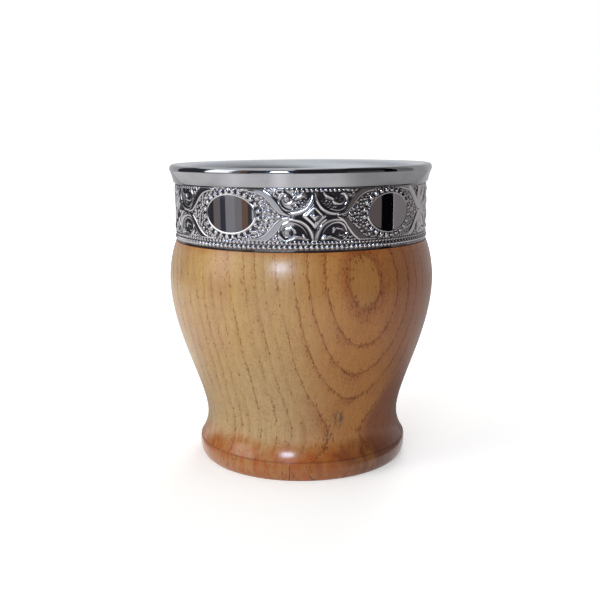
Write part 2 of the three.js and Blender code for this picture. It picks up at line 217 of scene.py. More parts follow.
class Finish:
    """A material under construction. Each call adds one node and hands back the socket that it makes."""

    def __init__(self, name):
        self.material = bpy.data.materials.new(name)
        self.material.use_nodes = True
        self.tree = self.material.node_tree
        self.shader = self.tree.nodes["Principled BSDF"]

    def node(self, kind, inputs, settings=None):
        made = self.tree.nodes.new("ShaderNode" + kind)
        for key, value in (settings or {}).items():
            setattr(made, key, value)
        for key, value in inputs.items():
            self.plug(made.inputs[key], value)
        return made

    def plug(self, socket, value):
        if isinstance(value, bpy.types.NodeSocket):
            self.tree.links.new(value, socket)
        else:
            socket.default_value = value

    def surface(self, **inputs):
        for key, value in inputs.items():
            self.plug(self.shader.inputs[key.replace("_", " ")], value)
        return self.material

    def maths(self, operation, *values):
        return self.node("Math", dict(enumerate(values)), {"operation": operation}).outputs[0]

    def times(self, first, second):
        return self.maths("MULTIPLY", first, second)

    def most(self, first, second):
        return self.maths("MAXIMUM", first, second)

    def vector(self, operation, *values):
        made = self.node("VectorMath", dict(enumerate(values)), {"operation": operation})
        return made.outputs["Value" if operation == "LENGTH" else "Vector"]

    def place(self):
        """The point being shaded, in millimetres."""
        point = self.tree.nodes.new("ShaderNodeTexCoord").outputs["Object"]
        return self.vector("MULTIPLY", point, (1 / MM, 1 / MM, 1 / MM))

    def parts(self, vector):
        return self.node("SeparateXYZ", {"Vector": vector}).outputs

    def from_axis(self, place):
        """Distance of a point from the upright axis."""
        x, y, _ = self.parts(place)
        return self.vector("LENGTH", self.node("CombineXYZ", {0: x, 1: y}).outputs[0])

    def attribute(self, name):
        return self.node("Attribute", {}, {"attribute_name": name}).outputs["Fac"]

    def step(self, value, low, high, bottom=0.0, top=1.0, kind="SMOOTHSTEP"):
        """Smooth step from bottom to top while the value goes from low to high."""
        inputs = {"Value": value, "From Min": low, "From Max": high, "To Min": bottom, "To Max": top}
        return self.node("MapRange", inputs, {"interpolation_type": kind}).outputs["Result"]

    def ramp(self, value, low, high, bottom, top):
        """Straight line through (low, bottom) and (high, top), without an end."""
        inputs = {"Value": value, "From Min": low, "From Max": high, "To Min": bottom, "To Max": top}
        return self.node("MapRange", inputs, {"clamp": False}).outputs["Result"]

    def noise(self, place, size, detail=2.0, roughness=0.5):
        """Cloudy noise whose clouds have the given size along X, Y and Z."""
        scaled = self.vector("DIVIDE", place, size)
        inputs = {"Vector": scaled, "Scale": 1.0, "Detail": detail, "Roughness": roughness}
        return self.node("TexNoise", inputs).outputs[0]

    def blotch(self, place, centre, size):
        """One soft spot: 1 in its middle, 0 at an ellipsoid of the given half sizes."""
        away = self.vector("DIVIDE", self.vector("SUBTRACT", place, centre), size)
        return self.step(self.vector("LENGTH", away), 1.0, 0.2)

    def mix(self, share, first, second, blend="MIX"):
        settings = {"data_type": "RGBA", "blend_type": blend}
        made = self.node("Mix", {0: share, 6: first, 7: second}, settings)
        return made.outputs[2]

    def bump(self, height, distance):
        inputs = {"Height": height, "Distance": distance * MM, "Strength": 1.0}
        return self.node("Bump", inputs).outputs["Normal"]


print("finish helper ready")

# %% [markdown]
# ## The wooden body
# The body was turned on a lathe from one block: a rounded foot, a crease with a small round edge above
# it, a hollow cove, a waist, a full belly and a shoulder that tucks in under the band. Its outline repeats
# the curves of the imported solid, with many more steps, and adds the round edge. The bore, the neck and the
# underside belong to the same outline, so the wood stays one closed shell.

# %% Wooden body
_, wood_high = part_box("wood_body")
BELLY_RADIUS = wood_high.x / MM
BAND_TOP = wood_high.z / MM
FOOT_RADIUS, FOOT_HEIGHT = 32.5, 4.0
FOOT_ROLL_DEPTH, FOOT_ROLL_HALF_HEIGHT = 2.0, 4.25
CREASE_RADIUS, CREASE_HEIGHT, CREASE_SLOPE, COVE_FULLNESS = 32.2, 5.8, 28.5, 2.75
CREASE_BEAD, CREASE_BEAD_START = 0.4, -8.0
WAIST_RADIUS, WAIST_HEIGHT, WAIST_FULLNESS = 30.0, 13.4, 9.4
BELLY_HEIGHT, BELLY_FULLNESS = 56.1, 16.9
SHOULDER_RADIUS, SHOULDER_HEIGHT, SHOULDER_SLOPE, SHOULDER_FULLNESS = 38.4, 67.7, 24.5, 3.3
NECK_RADIUS, NECK_ROUND = 37.2, 0.5
BORE_TOP_RADIUS, BORE_CORNER, WOOD_FLOOR, WALL_LEAN = 35.3, 8.9, 12.6, 8.0


def foot_roll(steps=28):
    """Upright ellipse arc from the table to the crease."""
    start = -math.asin(FOOT_HEIGHT / FOOT_ROLL_HALF_HEIGHT)
    end = math.asin((CREASE_HEIGHT - FOOT_HEIGHT) / FOOT_ROLL_HALF_HEIGHT)
    angle = np.linspace(start, end, steps)
    radius = FOOT_RADIUS - FOOT_ROLL_DEPTH + FOOT_ROLL_DEPTH * np.cos(angle)
    return np.column_stack([radius, FOOT_HEIGHT + FOOT_ROLL_HALF_HEIGHT * np.sin(angle)])


def leaning(fullness, slope):
    """Handle of a sweep, leaning inwards from upright by a slope in degrees."""
    return np.array([-math.sin(math.radians(slope)), math.cos(math.radians(slope))]) * fullness


def crease_bead(lowest):
    """Small round edge above the crease: an arc whose upper end runs into the cove."""
    slope = math.radians(CREASE_SLOPE)
    rise = CREASE_BEAD * (math.sin(slope) - math.sin(math.radians(CREASE_BEAD_START)))
    upper_end = lowest + np.array([-rise * math.tan(slope), rise])
    outwards = np.array([math.cos(slope), math.sin(slope)])
    return arc(upper_end - CREASE_BEAD * outwards, CREASE_BEAD, CREASE_BEAD_START, CREASE_SLOPE, 10)


crease = np.array([CREASE_RADIUS, CREASE_HEIGHT])
waist = np.array([WAIST_RADIUS, WAIST_HEIGHT])
belly = np.array([BELLY_RADIUS, BELLY_HEIGHT])
shoulder = np.array([SHOULDER_RADIUS, SHOULDER_HEIGHT])
upright = np.array([0.0, 1.0])
bore_lean = math.tan(math.radians(WALL_LEAN))
corner_height = WOOD_FLOOR + BORE_CORNER
corner_wall = BORE_TOP_RADIUS - (BAND_TOP - corner_height) * bore_lean
corner_centre = (corner_wall - BORE_CORNER / math.cos(math.radians(WALL_LEAN)), corner_height)

bead_above = crease_bead(crease)
cove = bead_above[-1]
wood_mesh = turned(
    "turned_wood",
    spot(0, 0),
    foot_roll(),
    bead_above,
    sweep(cove, cove + leaning(COVE_FULLNESS, CREASE_SLOPE), waist - upright * COVE_FULLNESS, waist, 24),
    sweep(waist, waist + upright * WAIST_FULLNESS, belly - upright * BELLY_FULLNESS, belly, 70),
    sweep(belly, belly + upright * SHOULDER_FULLNESS,
          shoulder - leaning(SHOULDER_FULLNESS, SHOULDER_SLOPE), shoulder, 30),
    spot(NECK_RADIUS, SHOULDER_HEIGHT),
    spot(NECK_RADIUS, BAND_TOP),
    spot(BORE_TOP_RADIUS + NECK_ROUND, BAND_TOP),
    spot(BORE_TOP_RADIUS, BAND_TOP - NECK_ROUND),
    arc(corner_centre, BORE_CORNER, -WALL_LEAN, -90),
    spot(0, WOOD_FLOOR),
)
print("wooden body:", len(wood_mesh.vertices), "points, widest radius", round(BELLY_RADIUS, 2))

# %% [markdown]
# ## Varnished wood
# The grain is a stack of growth rings round a pith that lies outside the cup, to the front right, and
# bends a little. Where the round wall cuts those rings they show as an eye, then as nested U shapes,
# then as nearly upright lines. A wave texture could only imitate this, so the distance to the pith is
# worked out with maths nodes, and every pattern follows from it: a thin dark line of open pores starts
# each ring, a reddish porous zone follows, and smooth golden wood ends it. A clear coat is the varnish,
# smoothest on the foot, with faint ripples high on the belly.

# %% Varnished wood
PITH_HEIGHT = 40.0
PITH_X = (29.56, -0.021, -0.00339)
PITH_Y = (-59.45, 0.082, -0.00073)
RING_RADII = (24.85, 28.0, 31.5, 35.0, 39.0, 41.9, 44.7, 48.0, 52.7, 56.2, 59.0, 62.2)
RING_BOLDNESS = (0.75, 0.95, 1.0, 1.0, 0.9, 0.35, 0.7, 0.6, 0.8, 0.35, 0.4, 0.7)
OLDER_RING_WIDTH = 3.4
GOLD, OCHRE, ROSY = colour(193, 154, 99), colour(194, 150, 80), colour(188, 140, 100)
# The browner side colour is browner wood together with painted shade for the right side.
BROWN_AND_SHADE_SIDE, EYE_GOLD, RED_ZONE = colour(189, 122, 59), colour(178, 121, 63), colour(160, 88, 48)
PALE, HEARTWOOD_AND_SHADE = colour(200, 173, 132), colour(142, 81, 48)
SMUDGE, SORE_AND_SHADE = colour(104, 80, 60), colour(130, 66, 38)
STAIN, DARK_STAIN_AND_SHADE = colour(178, 92, 32), colour(110, 56, 30)
PORE_RED, PORE_BROWN = colour(134, 64, 6), colour(98, 44, 4)
BROWN_SHADE_ACROSS, DARK_SHADE_ACROSS, PALE_ACROSS = (-13.0, 19.0), (17.0, 32.0), (10.0, -6.0)
PALE_RISES, PALE_FADES = (8.0, 14.0), (48.0, 24.0)
HEART_SHADE_ACROSS, HEART_SHADE_FADES, HEART_SHADE_RINGS = (10.0, 18.0), (36.0, 22.0), (3.95, 4.45)
STAIN_FADES, STAIN_RISES, STAIN_SHADE_ACROSS = (13.0, 6.5), (3.0, 6.5), (4.0, 20.0)
UNDER_BAND = (65.5, 68.5)
SMUDGE_SPOT = (10.3, -28.9, 18.3), (2.9, 4.0, 4.2)
SORE_SPOT = (12.3, -29.3, 6.9), (6.0, 6.0, 2.1)
SHADED_SPOT = (4.6, -32.0, 4.0), (1.6, 3.0, 5.0)
DASH_SIZE, PORE_SIZE, SPECKLE_SIZE = (0.4, 0.4, 1.3), (0.46, 0.46, 1.3), (0.34, 0.34, 0.8)
CHECK_X, CHECK_FADES = -4.4, (5.6, 4.6)
FIBRE_SIZE, STREAK_SIZE, FIGURE_SIZE = (0.35, 0.35, 7), (1.3, 1.3, 28), (6, 6, 0.8)
LATHE_SIZE, RIPPLE_SIZE, WEAR_SIZE = (30, 30, 0.3), (5, 5, 0.35), (4, 4, 0.5)
RED_ACROSS, RED_BEHIND = (-12.0, 14.0), (0.0, 25.0)
BROWN_PORES_ACROSS, BROWN_PORES_FADE = (-3.0, 16.0), (22.0, 12.0)
SMOOTH_FOOT, RIPPLED_BELLY = (9.0, 18.0), (50.0, 60.0)


def pith_offset(finish, along, measured, terms):
    """Distance along one axis from the bent pith: middle + lean * w + bend * w * w at w above its middle."""
    middle, lean, bend = terms
    bent = finish.maths("MULTIPLY_ADD", along, bend, lean)
    return finish.maths("SUBTRACT", measured, finish.maths("MULTIPLY_ADD", bent, along, middle))


def pith_distance(finish, place):
    """Distance from the bent pith, with slow waves and fine jags."""
    x, y, z = finish.parts(place)
    along = finish.maths("SUBTRACT", z, PITH_HEIGHT)
    across = finish.node("CombineXYZ", {
        0: pith_offset(finish, along, x, PITH_X),
        1: pith_offset(finish, along, y, PITH_Y),
    }).outputs[0]
    straight = finish.vector("LENGTH", across)
    slow = finish.maths("SUBTRACT", finish.noise(place, (12, 12, 26), 1.0), 0.5)
    fine = finish.maths("SUBTRACT", finish.noise(place, (0.8, 0.8, 2.4), 2.0), 0.5)
    waves = finish.times(slow, finish.step(straight, 25.0, 45.0, 0.2, 2.0))
    jags = finish.times(fine, finish.step(straight, 24.0, 34.0, 0.15, 0.5))
    return finish.maths("ADD", straight, finish.maths("ADD", waves, jags))


def growth_rings(finish, distance):
    """Ring number outwards from the eye, each ring as wide as its year, and how bold its line is."""
    ramp = finish.ramp(distance, RING_RADII[0] - OLDER_RING_WIDTH, RING_RADII[0], -1.0, 0.0)
    number = finish.maths("MINIMUM", ramp, 0.0)
    bold = RING_BOLDNESS[0]
    years = zip(RING_RADII[:-1], RING_RADII[1:], np.diff(RING_BOLDNESS).tolist())
    for inner, outer, change in years:
        middle, quarter = (inner + outer) / 2, (outer - inner) / 4
        grown = finish.step(distance, inner, outer, kind="LINEAR")
        number = finish.maths("ADD", number, grown)
        bolder = finish.step(distance, middle - quarter, middle + quarter, 0.0, change)
        bold = finish.maths("ADD", bolder, bold)
    last = RING_RADII[-1]
    older = finish.ramp(distance, last, last + OLDER_RING_WIDTH, 0.0, 1.0)
    return finish.maths("ADD", number, finish.most(older, 0.0)), bold


def open_pores(finish, place, size, chance, edge, core):
    """Short dark vessels along the grain: cells of a stretched Voronoi pattern, kept where chance allows."""
    scaled = finish.vector("DIVIDE", place, size)
    cells = finish.node("TexVoronoi", {"Vector": scaled, "Scale": 1.0, "Randomness": 1.0})
    draw = finish.parts(cells.outputs["Color"])[0]
    kept = finish.maths("LESS_THAN", draw, chance)
    return finish.times(kept, finish.step(cells.outputs["Distance"], edge, core))


def ground_tones(finish, place, ring):
    """Sound wood: gold, clouded, paler at the lower left and clear in the eye, with painted shade that turns
    it browner and darker to the right.
    """
    x, _, z = finish.parts(place)
    wide_clouds = finish.noise(place, (15, 15, 20), 2.0)
    tall_clouds = finish.noise(place, (10, 10, 30), 2.0)
    wood = finish.mix(finish.step(wide_clouds, 0.42, 0.68, 0.0, 0.55), GOLD, OCHRE)
    wood = finish.mix(finish.step(tall_clouds, 0.5, 0.72, 0.0, 0.6), wood, ROSY)
    # Painted shade: the wood turns browner, then darker, towards the right, where less light falls.
    wood = finish.mix(finish.step(x, *BROWN_SHADE_ACROSS, 0.0, 0.95), wood, BROWN_AND_SHADE_SIDE)
    wood = finish.mix(finish.step(x, *DARK_SHADE_ACROSS, 0.0, 0.75), wood, HEARTWOOD_AND_SHADE)
    near_waist = finish.times(finish.step(z, *PALE_FADES), finish.step(z, *PALE_RISES))
    low_left = finish.times(near_waist, finish.step(x, *PALE_ACROSS))
    wood = finish.mix(finish.times(low_left, 0.45), wood, PALE)
    return finish.mix(finish.step(ring, 0.03, -0.05, 0.0, 0.85), wood, EYE_GOLD)


def stained(finish, place, ring, wood):
    """Adds heartwood with painted shade at the lower right, the stain on the foot and cove with painted shade
    to the right, redder wood just under the band, a smudge, a sore spot and a spot of painted shade on the
    foot.
    """
    x, _, z = finish.parts(place)
    # Heartwood at the lower right, darkened further with painted shade.
    low_right = finish.times(finish.step(x, *HEART_SHADE_ACROSS), finish.step(z, *HEART_SHADE_FADES))
    heart_and_shade = finish.times(low_right, finish.step(ring, *HEART_SHADE_RINGS))
    wood = finish.mix(finish.times(heart_and_shade, 0.85), wood, HEARTWOOD_AND_SHADE)
    clouds = finish.noise(place, (4, 4, 5), 4.0, 0.6)
    uneven = finish.maths("MULTIPLY_ADD", clouds, 11.0, finish.maths("SUBTRACT", z, 5.5))
    patchy = finish.step(finish.noise(place, (2.4, 2.4, 6), 4.0, 0.6), 0.32, 0.66, 0.5, 1.0)
    on_foot = finish.times(finish.step(uneven, *STAIN_FADES), finish.step(z, *STAIN_RISES, 0.85, 1.0))
    # The stain on the foot and cove turns darker to the right, where painted shade is added to it.
    stain_and_shade = finish.mix(finish.step(x, *STAIN_SHADE_ACROSS), STAIN, DARK_STAIN_AND_SHADE)
    wood = finish.mix(finish.times(on_foot, patchy), wood, stain_and_shade)
    under_band = finish.times(finish.step(z, *UNDER_BAND, 0.0, 0.6), patchy)
    wood = finish.mix(under_band, wood, STAIN)
    torn = finish.step(finish.noise(place, (1.2, 1.2, 1.8), 3.0, 0.6), 0.38, 0.56)
    smudge = finish.times(finish.blotch(place, *SMUDGE_SPOT), torn)
    wood = finish.mix(finish.times(smudge, 0.85), wood, SMUDGE)
    sore = finish.times(finish.blotch(place, *SORE_SPOT), patchy)
    # A spot of painted shade on the foot, mixed in with the sore spot's colour.
    shaded = finish.times(finish.blotch(place, *SHADED_SPOT), patchy)
    sore_and_shaded = finish.most(sore, finish.times(shaded, 0.6))
    return finish.mix(finish.times(sore_and_shaded, 0.8), wood, SORE_AND_SHADE)


def dark_marks(finish, place, ring, bold, zone, rim):
    """How dark the open grain is: broken ring lines, dashes along them, and fewer and finer pores between."""
    away = finish.maths("PINGPONG", ring, 0.5)
    gaps = finish.step(ring, 4.2, 5.2, 0.45, 0.0)
    broken = finish.step(finish.noise(place, (3, 3, 10), 2.0), 0.38, 0.6, gaps, 1.0)
    bold = finish.times(bold, broken)
    core = finish.times(finish.step(away, 0.06, 0.02), bold)
    beside = finish.times(finish.step(away, 0.16, 0.04), bold)
    dashes = open_pores(finish, place, DASH_SIZE, finish.times(beside, 0.7), 0.6, 0.3)
    pore_chance = finish.most(finish.times(zone, 0.3), finish.times(rim, 0.85))
    pores = open_pores(finish, place, PORE_SIZE, pore_chance, 0.46, 0.24)
    clouds = finish.step(finish.noise(place, (6, 6, 9), 2.0), 0.35, 0.7, 0.05, 0.32)
    outside_eye = finish.times(clouds, finish.step(ring, -0.1, 0.05))
    sprinkled = finish.maths("MULTIPLY_ADD", zone, 0.35, outside_eye)
    speckle = open_pores(finish, place, SPECKLE_SIZE, sprinkled, 0.46, 0.25)
    dark = finish.most(finish.times(core, 0.56), finish.times(dashes, 0.86))
    dark = finish.most(dark, finish.times(pores, 0.7))
    dark = finish.most(dark, finish.times(speckle, 0.48))
    return dark, finish.most(dashes, pores)


def check_and_crease_shade(finish, place):
    """Dark hairlines: painted shade along the turned crease, and one short check that climbs the front of the
    foot.
    """
    x, y, z = finish.parts(place)
    off_crease = finish.maths("ABSOLUTE", finish.maths("SUBTRACT", z, CREASE_HEIGHT))
    # Painted shade along the crease.
    crease_shade = finish.step(off_crease, 0.45, 0.05, 0.0, 0.25)
    wander = finish.maths("MULTIPLY_ADD", finish.noise(place, (3, 3, 1.4), 2.0), 1.0, CHECK_X)
    aside = finish.maths("ABSOLUTE", finish.maths("SUBTRACT", x, wander))
    check = finish.times(finish.step(aside, 0.22, 0.05), finish.step(z, *CHECK_FADES))
    front = finish.maths("LESS_THAN", y, 0.0)
    return finish.most(crease_shade, finish.times(check, front))


def varnished_wood():
    finish = Finish("varnished_wood")
    place = finish.place()
    x, y, z = finish.parts(place)
    ring, bold = growth_rings(finish, pith_distance(finish, place))
    porous = finish.step(finish.maths("FRACT", ring), 0.6, 0.03)
    faded = finish.step(finish.noise(place, (8, 8, 22), 2.0), 0.35, 0.7)
    rim = finish.times(finish.step(ring, 0.5, 0.05), finish.step(ring, -0.02, 0.03))
    zone = finish.most(finish.times(porous, faded), rim)

    fibres = finish.noise(place, FIBRE_SIZE, 4.0, 0.65)
    streaks = finish.noise(place, STREAK_SIZE, 3.0, 0.6)
    figure = finish.noise(place, FIGURE_SIZE, 3.0, 0.6)
    wood = ground_tones(finish, place, ring)
    redder = finish.most(finish.step(x, *RED_ACROSS, 0.2, 0.5), finish.step(y, *RED_BEHIND, 0.2, 0.5))
    redness = finish.most(finish.times(zone, redder), finish.times(rim, 0.6))
    wood = finish.mix(redness, wood, RED_ZONE)
    wood = finish.mix(1.0, wood, finish.step(streaks, 0.3, 0.7, 0.93, 1.05), "MULTIPLY")
    wood = finish.mix(1.0, wood, finish.step(fibres, 0.25, 0.75, 0.905, 1.085), "MULTIPLY")
    wood = finish.mix(1.0, wood, finish.step(figure, 0.3, 0.7, 0.985, 1.015), "MULTIPLY")
    wood = stained(finish, place, ring, wood)
    dark, vessels = dark_marks(finish, place, ring, bold, zone, rim)
    browner = finish.most(finish.step(x, *BROWN_PORES_ACROSS), finish.step(z, *BROWN_PORES_FADE))
    pore_tone = finish.mix(browner, PORE_RED, PORE_BROWN)
    wood = finish.mix(finish.most(dark, check_and_crease_shade(finish, place)), wood, pore_tone)

    lathe = finish.noise(place, LATHE_SIZE, 3.0, 0.7)
    ripple = finish.noise(place, RIPPLE_SIZE, 2.0, 0.6)
    worn = finish.noise(place, WEAR_SIZE, 2.0, 0.6)
    grain = finish.maths("SUBTRACT", finish.times(lathe, 0.08), vessels)
    rippled = finish.times(ripple, finish.step(z, *RIPPLED_BELLY, 0.12, 1.0))
    return finish.surface(
        Base_Color=wood,
        Roughness=finish.step(fibres, 0.2, 0.8, 0.42, 0.55),
        Specular_IOR_Level=0.15,
        Normal=finish.bump(grain, 0.02),
        Coat_Weight=0.85,
        Coat_Roughness=finish.step(z, *SMOOTH_FOOT, 0.17, finish.step(worn, 0.35, 0.65, 0.24, 0.26)),
        Coat_Normal=finish.bump(rippled, 0.006),
    )


show(wood_mesh, varnished_wood(), "wood", "wood_body")

# %% [markdown]
# ## Lining and collar
# The lining is a pressed steel cup whose flange hangs on the neck of the wood. The collar is spun from
# sheet: it flares out from the band, rolls over a small lip with a full upper edge, rounds into the mouth
# and ends in a short sleeve. Both outlines are arcs, with an ellipse on the lip, that meet smoothly and are
# offset by the thickness of the sheet. Turning them as closed outlines gives real sheet edges, which a
# single skin with a Solidify modifier also could, but with less control at the lip.

# %% Steel lining
collar_low, collar_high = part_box("rim_collar")
lining_low, lining_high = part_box("inner_cup")
RIM_TOP = collar_high.z / MM
RIM_RADIUS = collar_high.x / MM
LINER_SHEET, LINER_CORNER = 0.6, 8.0
FLANGE_TOP = lining_high.z / MM
FLANGE_RADIUS = lining_high.x / MM
LINER_UNDER = lining_low.z / MM
MOUTH_ROUND, LIP_ROUND, COLLAR_SHEET, LAP_GAP = 5.1, 1.25, 0.5, 0.18
FLANGE_BEND = 0.8

lip_centre = np.array([RIM_RADIUS - LIP_ROUND, RIM_TOP - LIP_ROUND])
mouth_centre = np.array([lip_centre[0], RIM_TOP - MOUTH_ROUND])
lean = math.radians(WALL_LEAN)
sleeve_top = mouth_centre - MOUTH_ROUND * np.array([math.cos(lean), -math.sin(lean)])


def wall_radius(layer, height):
    """Radius of the leaning wall, the given distance out from the sleeve's inner face, at one height."""
    return sleeve_top[0] + layer / math.cos(lean) + (height - sleeve_top[1]) * math.tan(lean)


liner_in = COLLAR_SHEET + LAP_GAP
bend_height = FLANGE_TOP - LINER_SHEET - FLANGE_BEND
bend_centre = (wall_radius(liner_in + LINER_SHEET + FLANGE_BEND, bend_height), bend_height)
liner_corner_height = LINER_UNDER + LINER_SHEET + LINER_CORNER
liner_corner = (wall_radius(liner_in - LINER_CORNER, liner_corner_height), liner_corner_height)

lining_mesh = turned(
    "steel_lining",
    spot(0, LINER_UNDER),
    arc(liner_corner, LINER_CORNER + LINER_SHEET, -90, -WALL_LEAN),
    arc(bend_centre, FLANGE_BEND, 180 - WALL_LEAN, 90, 10),
    spot(FLANGE_RADIUS, FLANGE_TOP - LINER_SHEET),
    spot(FLANGE_RADIUS, FLANGE_TOP),
    arc(bend_centre, FLANGE_BEND + LINER_SHEET, 90, 180 - WALL_LEAN, 10),
    arc(liner_corner, LINER_CORNER, -WALL_LEAN, -90),
    spot(0, LINER_UNDER + LINER_SHEET),
)
print("steel lining:", len(lining_mesh.vertices), "points, flange radius", round(FLANGE_RADIUS, 2))

# %% Flared collar
COLLAR_DEPTH = 5.1
SKIRT_RADIUS, SKIRT_BOTTOM = 38.78, RIM_TOP - COLLAR_DEPTH
FLARE_ROUND, LIP_CROWN = 14.0, 0.8
SLEEVE_BOTTOM = collar_low.z / MM


def flare_centre():
    """Centre of the flare's arc, which touches the lip from outside and passes through the skirt's edge."""
    skirt = np.array([SKIRT_RADIUS, SKIRT_BOTTOM])
    across = lip_centre - skirt
    span = np.linalg.norm(across)
    along = (span ** 2 + FLARE_ROUND ** 2 - (FLARE_ROUND + LIP_ROUND) ** 2) / (2 * span)
    aside = math.sqrt(FLARE_ROUND ** 2 - along ** 2)
    return skirt + across / span * along + np.array([across[1], -across[0]]) / span * aside


def lip_crown(inset, steps=24):
    """Quarter of an upright ellipse, from the lip's widest point to its top, set inwards by the inset."""
    angle = np.linspace(0, math.pi / 2, steps)
    radius = RIM_RADIUS - LIP_CROWN + (LIP_CROWN - inset) * np.cos(angle)
    return np.column_stack([radius, lip_centre[1] + (LIP_ROUND - inset) * np.sin(angle)])


def degrees_to(start, end):
    """Direction from one point to another, in degrees."""
    return math.degrees(math.atan2(end[1] - start[1], end[0] - start[0]))


flare = flare_centre()
to_skirt = degrees_to(flare, (SKIRT_RADIUS, SKIRT_BOTTOM)) % 360
to_lip = degrees_to(flare, lip_centre) % 360
collar_mesh = turned(
    "flared_collar",
    arc(flare, FLARE_ROUND, to_skirt, to_lip),
    arc(lip_centre, LIP_ROUND, to_lip - 180, 0),
    lip_crown(0),
    arc(mouth_centre, MOUTH_ROUND, 90, 180 - WALL_LEAN, 30),
    spot(wall_radius(0, SLEEVE_BOTTOM), SLEEVE_BOTTOM),
    spot(wall_radius(COLLAR_SHEET, SLEEVE_BOTTOM), SLEEVE_BOTTOM),
    arc(mouth_centre, MOUTH_ROUND - COLLAR_SHEET, 180 - WALL_LEAN, 90, 30),
    lip_crown(COLLAR_SHEET)[::-1],
    arc(lip_centre, LIP_ROUND - COLLAR_SHEET, 0, to_lip - 180),
    arc(flare, FLARE_ROUND + COLLAR_SHEET, to_lip, to_skirt),
)
print("flared collar:", len(collar_mesh.vertices), "points, rim radius", round(RIM_RADIUS, 2))

# %% [markdown]
# ## Polished and satin steel
# Bare steel has hardly any colour of its own: it mirrors the room, dimmed to about half. What makes it
# look real is a faint unevenness, so a little noise varies the roughness. The lining carries fine rings
# from spinning, which blur its reflections the way a satin finish does, and it is paler. The collar is
# polished outside and turns satin inside the mouth, where it would otherwise mirror the dark cards; there
# its colour is painted paler and bluish, as a reflection of a pale sky.

# %% Polished and satin steel
STEEL, DIM_STEEL = (0.43, 0.445, 0.47, 1.0), (0.39, 0.405, 0.43, 1.0)
SATIN, DIM_SATIN = (0.72, 0.725, 0.735, 1.0), (0.67, 0.675, 0.685, 1.0)
# Inside the mouth the steel colour is painted paler and bluish, a painted reflection of a pale sky on satin.
MOUTH_SATIN_AND_SKY, MOUTH_ROUGHNESS = (0.57, 0.6, 0.635, 1.0), 0.42
POLISH_EDGE, POLISH_FADE = RIM_RADIUS - LIP_ROUND, 0.6


def polished_steel():
    finish = Finish("polished_steel")
    place = finish.place()
    # The mouth mask also paints a paler, bluish reflection of a pale sky inside the mouth.
    mouth = finish.step(finish.from_axis(place), POLISH_EDGE, POLISH_EDGE - POLISH_FADE)
    cloud = finish.noise(place, (6, 6, 3), 3.0)
    bright = finish.mix(finish.step(cloud, 0.3, 0.7), STEEL, DIM_STEEL)
    polish = finish.step(cloud, 0.3, 0.7, 0.05, 0.09)
    return finish.surface(
        Base_Color=finish.mix(mouth, bright, MOUTH_SATIN_AND_SKY),
        Metallic=1.0,
        Roughness=finish.step(mouth, 0.0, 1.0, polish, MOUTH_ROUGHNESS),
        Normal=finish.bump(finish.noise(place, (7, 7, 5), 1.0), 0.02),
    )


def satin_steel():
    finish = Finish("satin_steel")
    place = finish.place()
    rings = finish.node("CombineXYZ", {0: finish.from_axis(place), 2: finish.parts(place)[2]}).outputs[0]
    spun = finish.noise(rings, (0.12, 1, 0.16), 2.0)
    cloud = finish.noise(place, (9, 9, 12), 3.0)
    return finish.surface(
        Base_Color=finish.mix(finish.step(cloud, 0.3, 0.7), SATIN, DIM_SATIN),
        Metallic=1.0,
        Roughness=finish.step(cloud, 0.3, 0.7, 0.2, 0.3),
        Normal=finish.bump(spun, 0.006),
    )


show(lining_mesh, satin_steel(), "steel", "inner_cup")
show(collar_mesh, polished_steel(), "steel", "rim_collar")

# %% [markdown]
# ## The pattern of the band
# The band is thin sheet, pressed with a pattern that repeats five times: a mirror oval in a ring of
# beads, then a four-pointed star with a diamond in it, between four scrolls that curl into volutes.
# Modelling each motif as a body would give hundreds of pieces, and a bump map would leave the outline
# smooth. A height field is the natural form of pressed sheet: a height over two lengths, one around the
# band and one up it. Each motif is a distance, and a rounded ridge or bead is raised along it.

# %% Tools for a pressed pattern
CURVE_STEPS = 12
BEAD_FULLNESS = 0.65
LATTICE, NUDGE = 64, 0.9


def ridge(distance, half_width, height):
    """Rounded ridge: the height falls as one minus the square of the distance, to 0 at the half width."""
    return height * np.clip(1 - (distance / half_width) ** 2, 0, 1)


def bead(distance, radius, height):
    """Round bead with a full crown: a power of one minus the square of the distance."""
    return height * np.clip(1 - (distance / radius) ** 2, 0, 1) ** BEAD_FULLNESS


def curve_through(corners):
    """Smooth curve through given corners: Catmull-Rom cubics, each stretch with its own even steps."""
    corner = np.array(corners, float)
    ends = np.vstack([2 * corner[0] - corner[1], corner, 2 * corner[-1] - corner[-2]])
    before, start, end, after = ends[:-3], ends[1:-2], ends[2:-1], ends[3:]
    t = np.linspace(0, 1, CURVE_STEPS, endpoint=False)[:, None, None]
    cubic = 2 * start + (end - before) * t
    cubic = cubic + (2 * before - 5 * start + 4 * end - after) * t ** 2
    cubic = cubic + (3 * start - before - 3 * end + after) * t ** 3
    return np.vstack([np.swapaxes(cubic / 2, 0, 1).reshape(-1, 2), corner[-1:]])


def nearest(curve, x, y):
    """Distance from every grid point to a curve, and the share of the curve, 0 to 1, where it is nearest."""
    best = np.full(x.shape, np.inf)
    share = np.zeros(x.shape)
    for i, (start, end) in enumerate(zip(curve[:-1], curve[1:])):
        along = end - start
        t = ((x - start[0]) * along[0] + (y - start[1]) * along[1]) / (along @ along)
        t = np.clip(t, 0, 1)
        distance = np.hypot(x - start[0] - t * along[0], y - start[1] - t * along[1])
        share = np.where(distance < best, (i + t) / (len(curve) - 1), share)
        best = np.minimum(best, distance)
    return best, share


def tapered(curve, x, y, widths, height):
    """Ridge along a curve whose half width runs through the given values, lower where it is thinner."""
    distance, share = nearest(curve, x, y)
    width = np.interp(share, np.linspace(0, 1, len(widths)), widths)
    return ridge(distance, width, height * (width / max(widths)) ** 2)


